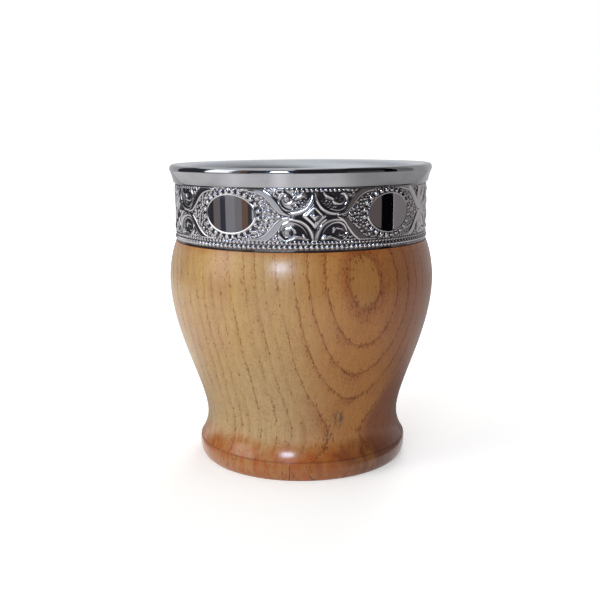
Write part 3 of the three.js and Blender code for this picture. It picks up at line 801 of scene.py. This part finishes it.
def granules(x, y, spacing, radius, height, seed):
    """Small beads on a lattice whose points are nudged by seeded draws."""
    nudge = np.random.default_rng(seed).random((LATTICE, LATTICE, 2)) - 0.5
    column, row = np.floor(x / spacing).astype(int), np.floor(y / spacing).astype(int)
    raised = np.zeros(x.shape)
    for i in (-1, 0, 1):
        for j in (-1, 0, 1):
            shift = nudge[(column + i) % LATTICE, (row + j) % LATTICE] * NUDGE
            centre_x = (column + i + 0.5 + shift[..., 0]) * spacing
            centre_y = (row + j + 0.5 + shift[..., 1]) * spacing
            raised = np.maximum(raised, bead(np.hypot(x - centre_x, y - centre_y), radius, height))
    return raised


def bead_row(x, y, count, length, rise, radius, height):
    """Evenly spaced beads along a line of the given length, centred on x = 0."""
    pitch = length / count
    aside = ((x + length / 2) / pitch % 1 - 0.5) * pitch
    return bead(np.hypot(aside, y - rise), radius, height)


def soften(field, passes):
    """Blurs a field by repeated 1-2-1 averaging both ways, with mirrored edges."""
    for _ in range(passes):
        padded = np.pad(field, 1, mode="reflect")
        across = (padded[:, :-2] + 2 * padded[:, 1:-1] + padded[:, 2:]) / 4
        field = (across[:-2] + 2 * across[1:-1] + across[2:]) / 4
    return field


print("pattern tools ready")

# %% [markdown]
# ## One repeat of the pattern
# Sizes are millimetres on the flat strip. The pattern is the same left and right of a star, so its scrolls
# are set out once, for the upper right of a star, and mirrored. The scroll is one long curve that thins
# as it goes: it bounds the star, turns up beside the ribbon and curls into a volute. A leaf fills each
# upper quarter of the star, and a fin with smaller leaves each lower one.

# %% One repeat of the pattern
band_low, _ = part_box("embossed_band")
REPEATS = 5
STARS = (5.6, 74.4, 148.9, 220.7, 292.6, 365.6)
GROUND_RADIUS = 38.1
BAND_BOTTOM = band_low.z / MM
SHOWN_HEIGHT = SKIRT_BOTTOM - BAND_BOTTOM
OVAL_RISE, STAR_RISE = 10.05, 9.85
REPEAT_LENGTH = 2 * math.pi * GROUND_RADIUS / REPEATS
OVAL = (7.8, 5.3)
OVAL_FACE, OVAL_DOME, OVAL_BEZEL = 0.3, 0.06, 0.44
BEZEL_OFFSET, BEZEL_WIDTH = 0.14, 0.26
BEAD_RING, RING_BEADS = (8.95, 6.25), 24
RING_BEAD_RADIUS, RING_BEAD_HEIGHT = 0.7, 0.55
STAR_EDGE = [(0.38, 7.0), (0.5, 5.5), (0.95, 3.9), (2.0, 2.3), (3.4, 1.3), (5.1, 0.8), (6.4, 0.72),
             (7.7, 1.0), (9.1, 1.7)]
STAR_EDGE_WIDTHS = (0.3, 0.42, 0.58, 0.66, 0.6, 0.48, 0.42, 0.38, 0.3)
SCROLL = [(1.7, 6.0), (2.2, 4.3), (3.1, 3.0), (4.3, 2.1), (5.6, 1.6), (7.1, 1.5), (8.6, 2.3), (9.4, 3.9),
          (9.2, 5.2), (8.3, 6.05), (7.4, 5.8)]
SCROLL_WIDTHS = (0.16, 0.2, 0.2, 0.2, 0.22, 0.28, 0.36, 0.44, 0.54, 0.52, 0.24)
CURL = [(6.6, 3.2), (7.8, 3.4), (8.4, 4.3), (8.0, 5.1), (7.2, 5.0), (6.9, 4.3), (7.4, 3.9)]
CURL_WIDTHS = (0.22, 0.2, 0.18)
LEAF = [(2.5, 6.7), (3.4, 5.5), (4.6, 4.9), (5.3, 4.5), (5.6, 3.7), (7.0, 3.3)]
LEAF_WIDTHS = (0.3, 0.62, 0.58, 0.44, 0.46, 0.24)
FIN = [(5.2, 4.2), (5.6, 3.3), (6.7, 2.8)]
FIN_WIDTHS = (0.2, 0.42, 0.16)
FOOT_SPRIG = [(2.1, 6.0), (2.9, 5.3)]
FOOT_SPRIG_WIDTHS = (0.2, 0.42)
FOOT_LEAF = [(2.2, 6.0), (3.7, 5.7), (5.0, 5.6), (6.4, 6.2), (7.9, 6.5), (9.4, 5.4)]
FOOT_LEAF_WIDTHS = (0.26, 0.36, 0.34, 0.36, 0.36, 0.26)
RIBBON = [(6.6, 0.1), (8.7, 0.95), (10.3, 2.7), (11.9, 4.6), (13.6, 6.0), (15.6, 6.7), (18.0, 7.0)]
RIBBON_WIDTHS = (0.1, 0.6, 0.88, 0.9, 0.85, 0.7, 0.6)
RIBBON_HEIGHT, RIBBON_CROWN, RIBBON_SIDE = 0.26, 0.02, 0.15
BOTH_HALVES = [(STAR_EDGE, STAR_EDGE_WIDTHS, 0.44), (SCROLL, SCROLL_WIDTHS, 0.4), (CURL, CURL_WIDTHS, 0.12)]
UPPER_HALF = [(LEAF, LEAF_WIDTHS, 0.42)]
LOWER_HALF = [
    (FIN, FIN_WIDTHS, 0.36), (FOOT_SPRIG, FOOT_SPRIG_WIDTHS, 0.4), (FOOT_LEAF, FOOT_LEAF_WIDTHS, 0.38),
]
LOWER_SHIFT = 0.2
VOLUTE, VOLUTE_RADIUS, VOLUTE_HEIGHT = (7.6, 4.4), 1.7, 0.05
ROUNDEL, ROUNDEL_REACH = (4.2, 4.1), (2.7, 2.4)
DIAMOND_REACH, DIAMOND_OUTER, DIAMOND_INNER, DIAMOND_HEIGHT = 2.25, 0.8, 0.3, 0.3
BOSS_REACH, BOSS_SLOPE, BOSS_HEIGHT = 1.35, 0.42, 0.34
DOTS, GRAINS, CORNER_GRAINS = (0.8, 0.26, 0.08, 23), (0.9, 0.37, 0.26, 11), (0.74, 0.32, 0.24, 31)
EDGE_BEADS = [(33, 1.25, 0.64, 0.5), (41, 2.5, 0.42, 0.28), (37, SHOWN_HEIGHT - 0.75, 0.36, 0.22)]
MOTIFS_FROM, MOTIFS_TO = 3.0, SHOWN_HEIGHT - 0.5
OVAL_CLEAR, GRAINS_FROM, OVAL_FIELD = 1.05, 1.27, 1.35
CORNER_FROM, CORNER_CLEAR, RIBBON_CLEAR = (8.9, 5.2), 0.3, 0.25
OVAL_STEPS = 721


def mirror_oval(x, y):
    """Slightly domed oval with a thin bezel, and its ring of beads set evenly along a larger ellipse."""
    reach = np.hypot(x / OVAL[0], y / OVAL[1])
    dome = np.where(reach < 1, OVAL_FACE + OVAL_DOME * (1 - reach ** 2), 0)
    beyond = (reach - 1) * OVAL[1]
    raised = np.maximum(dome, ridge(beyond - BEZEL_OFFSET, BEZEL_WIDTH, OVAL_BEZEL))
    turn = np.linspace(0, 2 * math.pi, OVAL_STEPS)
    path = np.stack([BEAD_RING[0] * np.cos(turn), BEAD_RING[1] * np.sin(turn)])
    run = np.append(0, np.cumsum(np.linalg.norm(np.diff(path, axis=1), axis=0)))
    places = np.interp((np.arange(RING_BEADS) + 0.5) / RING_BEADS * run[-1], run, turn)
    for place in places:
        distance = np.hypot(x - BEAD_RING[0] * math.cos(place), y - BEAD_RING[1] * math.sin(place))
        raised = np.maximum(raised, bead(distance, RING_BEAD_RADIUS, RING_BEAD_HEIGHT))
    return raised, reach


def diamond(x, y):
    """Raised rhombus, |x| + |y| = reach, whose frame slopes like a roof, with a faceted boss inside."""
    reach = np.abs(x) + np.abs(y)
    beyond = (reach - DIAMOND_REACH) / math.sqrt(2)
    fallen = np.where(beyond > 0, beyond / DIAMOND_OUTER, -beyond / DIAMOND_INNER)
    frame_ridge = DIAMOND_HEIGHT * np.clip(1 - fallen, 0, 1)
    boss = np.clip((BOSS_REACH - reach) * BOSS_SLOPE, 0, BOSS_HEIGHT)
    return np.maximum(frame_ridge, boss)


def ribbon_and_side(x, up):
    """Raised ribbon with steep sides, which points lie on its oval side, and how far off they are."""
    distance, share = nearest(curve_through(RIBBON), x, up)
    half_width = np.interp(share, np.linspace(0, 1, len(RIBBON_WIDTHS)), RIBBON_WIDTHS)
    steep = np.clip((half_width - distance) / RIBBON_SIDE + 0.5, 0, 1)
    plateau = (RIBBON_HEIGHT - RIBBON_CROWN * distance ** 2) * steep
    middle_x = np.interp(up, [corner[1] for corner in RIBBON], [corner[0] for corner in RIBBON])
    beside = (distance > half_width + RIBBON_CLEAR) & (x > middle_x)
    return plateau, beside, distance - half_width


def highest(motifs, x, up):
    """Highest of several tapered ridges, each given as corners, half widths and height."""
    return np.maximum.reduce([
        tapered(curve_through(corners), x, up, widths, height) for corners, widths, height in motifs
    ])


def pressed_pattern(along, rise):
    """Height at lengths around from an oval's middle and up from the edge, and where the mirrors are."""
    x = REPEAT_LENGTH / 2 - np.abs(along)
    y = rise - STAR_RISE
    up = np.where(y > 0, y, -y - LOWER_SHIFT)
    oval, reach = mirror_oval(along, rise - OVAL_RISE)
    ribbon, oval_side, clear = ribbon_and_side(x, up)
    scrolls = np.maximum.reduce([
        highest(BOTH_HALVES, x, up),
        np.where(y > 0, highest(UPPER_HALF, x, up), 0),
        np.where(y < 0, highest(LOWER_HALF, x, up), 0),
        bead(np.hypot(x - VOLUTE[0], up - VOLUTE[1]), VOLUTE_RADIUS, VOLUTE_HEIGHT),
    ])
    off_roundel = np.hypot((x - ROUNDEL[0]) / ROUNDEL_REACH[0], (up - ROUNDEL[1]) / ROUNDEL_REACH[1])
    dots = np.where((y > 0) & (off_roundel < 1), granules(along, rise, *DOTS), 0)
    grains = np.where(oval_side & (reach > GRAINS_FROM), granules(along, rise, *GRAINS), 0)
    corner = (x > CORNER_FROM[0]) & (up > CORNER_FROM[1]) & (clear > CORNER_CLEAR) & ~oval_side
    corner_grains = np.where(corner, granules(along, rise, *CORNER_GRAINS), 0)

    edge = np.maximum.reduce([
        bead_row(along, rise, count, REPEAT_LENGTH, level, radius, height)
        for count, level, radius, height in EDGE_BEADS
    ])
    inner = (rise > MOTIFS_FROM) & (rise < MOTIFS_TO)
    motifs = np.maximum.reduce([scrolls, ribbon, diamond(x, y), dots, grains, corner_grains])
    motifs = np.where((inner | (reach < OVAL_FIELD)) & (reach > OVAL_CLEAR), motifs, 0)
    return np.maximum.reduce([motifs, oval, edge]), reach < 1


print(f"one repeat: {REPEAT_LENGTH:.1f} mm around and {SHOWN_HEIGHT:.1f} mm up")

# %% [markdown]
# ## Five repeats around the neck
# A single mesh of the whole band would be too heavy for one piece, so each repeat is its own closed piece:
# the pressed face, a plain back, and edges between them. The stars are not quite evenly spaced, so each
# repeat is stretched or pressed together a little to reach from one to the next. Neighbours meet in the
# middle of a star, where both sides have the same height, so no joint shows. Behind the cup the strip's two
# ends stop short of each other, and solder fills the gap. How high a point lies, how far it sinks below
# its surroundings, with painted shade added along the top and bottom edges, and whether it is in a mirror
# oval is kept with the mesh, because the finish needs it.

# %% Band repeats
GRID_STEP = 0.12
BAND_SHARP_ANGLE = math.radians(75)
BAND_SHEET = 0.5
BAND_LAP = 0.9
SEAM_STAR, SEAM_GAP = 2, 0.9
RELIEF = 0.5
LOWER_EDGE_SHADE, UPPER_EDGE_SHADE, EDGE_SHADE_DEPTH = 0.6, 0.4, 0.08


def band_repeat(number):
    """Wraps one repeat between two stars: the length gives the angle, and the height adds to the radius."""
    start = -REPEAT_LENGTH / 2 + (SEAM_GAP / 2 if number == SEAM_STAR else 0)
    end = REPEAT_LENGTH / 2 - (SEAM_GAP / 2 if number == SEAM_STAR - 1 else 0)
    columns = int((end - start) / GRID_STEP) + 1
    rows = int((SHOWN_HEIGHT + BAND_LAP) / GRID_STEP) + 1
    levels = np.linspace(0, SHOWN_HEIGHT + BAND_LAP, rows)
    along, rise = np.meshgrid(np.linspace(start, end, columns), levels)
    pattern, mirror = pressed_pattern(along, rise)
    height = soften(pattern, 1)
    height = np.where(rise > SHOWN_HEIGHT - 0.1, 0, height)
    # Painted shade along the bottom edge, by the wood, and the top edge, under the collar: it is added to how
    # far a point sinks, which the finish turns dark.
    edge_shade = np.maximum(1 - rise / LOWER_EDGE_SHADE, 1 - (SHOWN_HEIGHT - rise) / UPPER_EDGE_SHADE)
    hollow_and_edge_shade = soften(height, 14) - height + EDGE_SHADE_DEPTH * np.clip(edge_shade, 0, 1)
    middle = math.radians((STARS[number] + STARS[number + 1]) / 2)
    turn = math.radians(STARS[number + 1] - STARS[number]) / REPEAT_LENGTH

    def wrapped(length, radius, level):
        angle = middle + length * turn
        return np.stack([radius * np.sin(angle), -radius * np.cos(angle), BAND_BOTTOM + level], axis=-1)

    face = wrapped(along, GROUND_RADIUS + height, rise).reshape(-1, 3)
    bore = np.full(columns, GROUND_RADIUS - BAND_SHEET)
    back = np.vstack([wrapped(along[0], bore, rise[0]), wrapped(along[-1], bore, rise[-1])])
    index = np.arange(rows * columns).reshape(rows, columns)
    low = rows * columns + np.arange(columns)
    high = low + columns
    faces = quads(index).tolist()
    for lower, upper in ((low, index[0]), (index[-1], high), (high, low)):
        faces += quads(np.stack([lower, upper])).tolist()
    faces.append([*index[:, 0].tolist(), int(high[0]), int(low[0])])
    faces.append([*index[::-1, -1].tolist(), int(low[-1]), int(high[-1])])
    mesh = skin(f"band_repeat_{number + 1}", np.vstack([face, back]), faces, BAND_SHARP_ANGLE)
    plain = np.zeros(2 * columns)
    fields = {"relief": height / RELIEF, "hollow_and_edge_shade": hollow_and_edge_shade / RELIEF, "mirror": mirror}
    for name, field in fields.items():
        kept = mesh.attributes.new(name, "FLOAT", "POINT")
        kept.data.foreach_set("value", np.append(field.reshape(-1), plain).astype(np.float32))
    return mesh


band_meshes = [band_repeat(number) for number in range(REPEATS)]
print("points in the repeats:", [len(mesh.vertices) for mesh in band_meshes])

# %% [markdown]
# ## Pressed metal
# The band is the same bright metal as the collar. Its hollows and its top and bottom edges are painted dark
# as shade, and its crests are painted lighter as a highlight. The three numbers kept with the mesh drive
# that: hollows turn dark and dull, crests stay bright, and the ovals stay clean mirrors. Because this painted
# shade and highlight are part of the finish, they show from every side.

# %% Pressed metal
HIGHLIT_CREST, GROUND = (0.6, 0.6, 0.62, 1.0), (0.48, 0.47, 0.49, 1.0)
# Dark colour painted into the hollows and along the edges as shade.
HOLLOW_SHADE = (0.035, 0.033, 0.037, 1.0)


def pressed_metal():
    finish = Finish("pressed_metal")
    place = finish.place()
    cloud = finish.noise(place, (2.5, 2.5, 2.5), 3.0)
    relief, hollow_and_edge_shade, mirror = (finish.attribute(name) for name in ("relief", "hollow_and_edge_shade", "mirror"))
    # The crests are painted lighter than the ground, as a painted highlight.
    metal = finish.mix(finish.step(relief, 0.15, 0.75), GROUND, HIGHLIT_CREST)
    uneven = finish.maths("MULTIPLY_ADD", cloud, 0.1, finish.maths("SUBTRACT", hollow_and_edge_shade, 0.05))
    pressed = finish.maths("SUBTRACT", 1.0, mirror)
    # Painted shade in the hollows and along the band's edges; the ovals are left clean.
    sunk = finish.times(finish.step(uneven, 0.02, 0.22), finish.step(relief, 0.26, 0.06))
    shade_in_hollows = finish.times(sunk, pressed)
    dull = finish.times(finish.step(uneven, 0.0, 0.25, 0.03, 0.12), pressed)
    scuffs = finish.times(finish.noise(place, (0.8, 0.8, 0.8), 2.0), pressed)
    return finish.surface(
        Base_Color=finish.mix(shade_in_hollows, metal, HOLLOW_SHADE),
        Metallic=1.0,
        Roughness=finish.maths("ADD", dull, 0.05),
        Normal=finish.bump(scuffs, 0.003),
    )


band_finish = pressed_metal()
for mesh in band_meshes:
    show(mesh, band_finish, "chased_metal", "embossed_band")

# %% [markdown]
# ## The soldered seam
# At the back the strip's ends are closed with soft solder, a slightly crowned bead with ripples where it
# cooled. It is a rounded section carried up a straight path, whose crown rises and falls along the way.

# %% Soldered seam
SOLDER_CROWN = 0.22
SOLDER_ROWS, SOLDER_COLUMNS = 90, 12
SOLDER, DULL_SOLDER = (0.42, 0.42, 0.42, 1.0), (0.26, 0.26, 0.27, 1.0)


def soldered_seam():
    """Section across the gap, raised as a parabola, carried up the seam with two slow ripples."""
    levels = np.linspace(0, SHOWN_HEIGHT, SOLDER_ROWS)
    across, level = np.meshgrid(np.linspace(-1, 1, SOLDER_COLUMNS), levels)
    ripple = 0.75 + 0.15 * np.sin(level * 2.3) + 0.1 * np.sin(level * 5.9 + across)
    crown = SOLDER_CROWN * (1 - across ** 2) * ripple
    middle = math.radians(STARS[SEAM_STAR])
    angle = middle + across * SEAM_GAP / 2 / GROUND_RADIUS
    around = np.stack([np.sin(angle), -np.cos(angle)], axis=-1)
    outer = np.dstack([around * (GROUND_RADIUS + crown)[..., None], BAND_BOTTOM + level]).reshape(-1, 3)
    inner = np.dstack([around * (GROUND_RADIUS - BAND_SHEET), BAND_BOTTOM + level]).reshape(-1, 3)
    index = np.arange(SOLDER_ROWS * SOLDER_COLUMNS).reshape(SOLDER_ROWS, SOLDER_COLUMNS)
    behind = index + index.size
    walls = [
        (behind[0], index[0]), (index[-1], behind[-1]),
        (index[:, 0], behind[:, 0]), (behind[:, -1], index[:, -1]),
    ]
    faces = np.vstack([quads(index), quads(behind)[:, ::-1], *(quads(np.stack(wall)) for wall in walls)])
    return skin("soldered_seam", np.vstack([outer, inner]), faces.tolist())


def soft_solder():
    finish = Finish("soft_solder")
    cloud = finish.noise(finish.place(), (0.9, 0.9, 1.6), 4.0)
    return finish.surface(
        Base_Color=finish.mix(finish.step(cloud, 0.3, 0.7), SOLDER, DULL_SOLDER),
        Metallic=1.0,
        Roughness=finish.step(cloud, 0.3, 0.7, 0.32, 0.5),
        Normal=finish.bump(cloud, 0.04),
    )


show(soldered_seam(), soft_solder(), "solder", "band_seam_solder")

# %% [markdown]
# ## Hidden bonds
# Adhesive holds the band and the lining's floor, and sealant fills the hollow of the rim. They show only
# when the cup is taken apart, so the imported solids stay, with a cloudy resin finish.

# %% Hidden bonds
RESIN, DARK_RESIN = colour(214, 204, 178), colour(186, 172, 138)


def cured_resin():
    finish = Finish("cured_resin")
    cloud = finish.noise(finish.place(), (3, 3, 3), 4.0)
    return finish.surface(
        Base_Color=finish.mix(finish.step(cloud, 0.3, 0.7), RESIN, DARK_RESIN),
        Roughness=finish.step(cloud, 0.3, 0.7, 0.4, 0.6),
        Normal=finish.bump(cloud, 0.05),
    )


resin = cured_resin()
for name in ("band_adhesive", "floor_adhesive", "rim_sealant"):
    solid = frame["nodes"][name].data
    solid.materials.clear()
    solid.materials.append(resin)
    print("resin on", name)

# %% [markdown]
# ## Floor and surround
# The cup stands on a plain pale floor in front of a white surround. The surround and the floor are seen as
# white by the camera and in reflections, and light the cup softly.

# %% Floor and white surround
FLOOR_REACH = 3000.0
FILL = 0.27
FLOOR_SHADE = (0.83, 0.83, 0.83, 1.0)
NEAR_GLOW, FAR_GLOW = 0.4, 0.9
GLOW_FROM, GLOW_TO = 120.0, 700.0


def seen_directly(tree):
    """1 for rays from the camera, in mirrors and through glass, 0 for rays that carry soft light."""
    path = tree.nodes.new("ShaderNodeLightPath")
    total = path.outputs["Is Camera Ray"]
    for name in ("Is Glossy Ray", "Is Transmission Ray"):
        both = tree.nodes.new("ShaderNodeMath")
        both.operation = "MAXIMUM"
        tree.links.new(total, both.inputs[0])
        tree.links.new(path.outputs[name], both.inputs[1])
        total = both.outputs[0]
    return total


def white_surround():
    world = bpy.data.worlds.new("white_surround")
    world.use_nodes = True
    tree = world.node_tree
    level = tree.nodes.new("ShaderNodeMapRange")
    level.inputs["To Min"].default_value = FILL
    level.inputs["To Max"].default_value = 1.0
    tree.links.new(seen_directly(tree), level.inputs["Value"])
    tree.nodes["Background"].inputs["Color"].default_value = (1, 1, 1, 1)
    tree.links.new(level.outputs["Result"], tree.nodes["Background"].inputs["Strength"])
    return world


def pale_floor():
    finish = Finish("pale_floor")
    away = finish.vector("LENGTH", finish.place())
    brighter = finish.step(away, GLOW_FROM, GLOW_TO, NEAR_GLOW, FAR_GLOW)
    glow = finish.times(seen_directly(finish.tree), brighter)
    return finish.surface(
        Base_Color=FLOOR_SHADE,
        Roughness=0.9,
        Specular_IOR_Level=0.0,
        Emission_Color=(1, 1, 1, 1),
        Emission_Strength=glow,
    )


def stage_piece(name, points, faces, finish):
    """Adds a floor or card, which is not part of the cup."""
    mesh = bpy.data.meshes.new(name)
    mesh.from_pydata((np.array(points, float) * MM).tolist(), [], faces)
    mesh.materials.append(finish)
    piece = bpy.data.objects.new(name, mesh)
    scene.collection.objects.link(piece)
    return piece


scene.world = white_surround()
corners = [(-1, -1, 0), (1, -1, 0), (1, 1, 0), (-1, 1, 0)]
stage_piece("floor", np.array(corners) * FLOOR_REACH, [(0, 1, 2, 3)], pale_floor())
print("floor reaches", FLOOR_REACH, "mm each way")

# %% [markdown]
# ## Cards and a mat
# Bright metal looks dull in an all-white room, so cards from black to white stand around at the horizon, as
# in a product studio, and a mat on the floor darkens far out and to the right. They could be lit by lamps,
# but then the cup would be lit by them too. Here they glow by themselves, and only reflections see them.

# %% Cards and a mat
CARD_DISTANCE, CARD_TOP = 450.0, 1200.0
CARD_STEPS = 24
CARDS = [
    ("front_card", -6, 37, 0, CARD_TOP, (0.035, 0.033, 0.04)),
    ("right_card", 37, 71.5, 0, 150, (0.14, 0.115, 0.112)),
    ("right_high_card", 37, 71.5, 150, CARD_TOP, (0.03, 0.028, 0.03)),
    ("black_flag", 71.5, 86.5, 0, CARD_TOP, (0.002, 0.002, 0.003)),
    ("far_right_card", 86.8, 108, 0, CARD_TOP, (0.25, 0.225, 0.225)),
    ("side_right_card", 108, 135, 0, CARD_TOP, (0.5, 0.48, 0.48)),
    ("back_right_card", 135, 170, 0, CARD_TOP, (0.55, 0.55, 0.56)),
    ("front_left_card", -40, -6, 70, 460, (0.06, 0.058, 0.065)),
    ("left_edge_card", -44, -40, 0, 460, (0.06, 0.055, 0.06)),
    ("low_pale_card", -40, -15, 0, 70, (0.62, 0.66, 0.72)),
    ("pale_spot", -15, -6, 0, 70, (0.9, 0.9, 0.92)),
    ("brown_card", -50, -44, 0, 460, (0.2, 0.12, 0.09)),
    ("left_card", -57, -50, 0, 460, (0.24, 0.23, 0.24)),
    ("left_grey_card", -67, -57, 0, 70, (0.3, 0.29, 0.31)),
    ("left_flag", -73, -67, 0, 70, (0.05, 0.055, 0.075)),
    ("low_brown_card", -81, -73, 0, 70, (0.2, 0.17, 0.17)),
    ("low_dark_card", -85, -81, 0, 70, (0.04, 0.04, 0.045)),
    ("far_left_card", -126, -85, 0, 420, (0.05, 0.05, 0.06)),
    ("side_left_card", -170, -126, 0, CARD_TOP, (0.55, 0.55, 0.57)),
    ("bright_left_card", -84, -60, 80, 420, (2.4, 2.4, 2.45)),
]
MAT_NEAR, MAT_FAR, MAT_HEIGHT = 41.0, 450.0, 0.5
MAT_LEFT, MAT_RIGHT = -170.0, 170.0
MAT_GLOWS = [(-17.0, 11.0, 1.4), (-60.0, 18.0, 1.25)]
MAT_BRIGHTENS, MAT_DARKENS = (52.0, 105.0), (210.0, 430.0)
MAT_SIDES, MAT_DIMS = (75, 100), (22, 55)
MAT_FOOT, MAT_PALE, MAT_DARK, MAT_SIDE, MAT_DIM = 0.32, 0.95, 0.1, 0.8, 0.53
MAT_TINT = (1.0, 0.96, 0.95, 1.0)
REFLECTED_ONLY = ("camera", "diffuse", "shadow", "transmission", "volume_scatter")


def card_ring(start, end, radius, height):
    """Points on a level arc about the cup, from one azimuth to another."""
    angle = np.radians(np.linspace(start, end, CARD_STEPS))
    return np.column_stack([radius * np.sin(angle), -radius * np.cos(angle), np.full(CARD_STEPS, height)])


def card_between(name, lower, upper, finish):
    """Sheet between two arcs that only reflections see."""
    faces = quads(np.arange(2 * CARD_STEPS).reshape(2, CARD_STEPS)).tolist()
    piece = stage_piece(name, np.vstack([lower, upper]), faces, finish)
    for kind in REFLECTED_ONLY:
        setattr(piece, "visible_" + kind, False)


def glowing(finish, shade, strength):
    """Black finish that only gives off the given shade."""
    return finish.surface(
        Base_Color=(0, 0, 0, 1),
        Specular_IOR_Level=0.0,
        Emission_Color=shade,
        Emission_Strength=strength,
    )


def floor_mat():
    """The floor as reflections see it: it darkens far out and to the right, with two brighter fans."""
    finish = Finish("floor_mat")
    place = finish.place()
    x, y, _ = finish.parts(place)
    azimuth = finish.maths("ARCTAN2", x, finish.times(y, -1.0))
    to_side = finish.maths("ABSOLUTE", azimuth)
    sideways = finish.step(to_side, *np.radians(MAT_SIDES).tolist(), MAT_DARK, MAT_SIDE)
    distance = finish.vector("LENGTH", place)
    near_cup = finish.step(distance, *MAT_BRIGHTENS, MAT_FOOT, MAT_PALE)
    outwards = finish.step(distance, *MAT_DARKENS, near_cup, sideways)
    to_right = finish.step(azimuth, *np.radians(MAT_DIMS).tolist(), 1.0, MAT_DIM)
    lit = finish.times(outwards, to_right)
    for middle, spread, gain in MAT_GLOWS:
        aside = finish.maths("ABSOLUTE", finish.maths("SUBTRACT", azimuth, math.radians(middle)))
        lit = finish.times(lit, finish.step(aside, math.radians(spread), 0.0, 1.0, gain))
    return glowing(finish, MAT_TINT, lit)


for name, start, end, bottom, top, shade in CARDS:
    lower, upper = (card_ring(start, end, CARD_DISTANCE, height) for height in (bottom, top))
    card_between(name, lower, upper, glowing(Finish(name), (*shade, 1), 1.0))
outer, inner = (card_ring(MAT_LEFT, MAT_RIGHT, radius, MAT_HEIGHT) for radius in (MAT_FAR, MAT_NEAR))
card_between("floor_mat", outer, inner, floor_mat())
print("cards:", [card[0] for card in CARDS])

# %% [markdown]
# ## Soft lamps
# Large lamps give soft light from the left, from above and from behind. The window is two lamps: one is only
# seen in reflections, where it makes the bright spots on the varnish, and the other only gives soft light.
# Both have the cool tint of daylight.

# %% Soft lamps
WHITE, DAYLIGHT, SKY = (1, 1, 1), (0.84, 0.94, 1.0), (0.62, 0.76, 1.0)
LAMPS = [
    ("window", -17.0, 18.0, 400.0, (84, 46), 0.43, SKY, True),
    ("window_fill", -17.0, 13.5, 400.0, (84, 90), 0.32, DAYLIGHT, False),
    ("left_softbox", -62.0, 30.0, 560.0, (260, 360), 1.15, WHITE, False),
    ("overhead", 20.0, 82.0, 800.0, (500, 500), 1.3, WHITE, False),
    ("back_softbox", 165.0, 30.0, 560.0, (260, 360), 1.6, WHITE, False),
]
AIM_HEIGHT = 50.0


def soft_lamp(name, azimuth, elevation, distance, size, power, tint, mirrored):
    """Rectangular lamp at an azimuth and elevation, facing the cup, for reflections or for soft light."""
    lamp = bpy.data.lights.new(name, "AREA")
    lamp.shape = "RECTANGLE"
    lamp.size, lamp.size_y = size[0] * MM, size[1] * MM
    lamp.energy = power
    lamp.color = tint
    a, e = math.radians(azimuth), math.radians(elevation)
    back = np.array([math.sin(a) * math.cos(e), -math.cos(a) * math.cos(e), math.sin(e)])
    right = np.array([math.cos(a), math.sin(a), 0.0])
    place = np.identity(4)
    place[:3, :3] = np.column_stack([right, np.cross(back, right), back])
    place[:3, 3] = (back * distance + np.array([0, 0, AIM_HEIGHT])) * MM
    piece = bpy.data.objects.new(name, lamp)
    piece.matrix_world = Matrix(place.tolist())
    piece.visible_camera = False
    piece.visible_glossy = mirrored
    piece.visible_diffuse = not mirrored
    scene.collection.objects.link(piece)


for lamp in LAMPS:
    soft_lamp(*lamp)
print("lamps:", [lamp[0] for lamp in LAMPS])
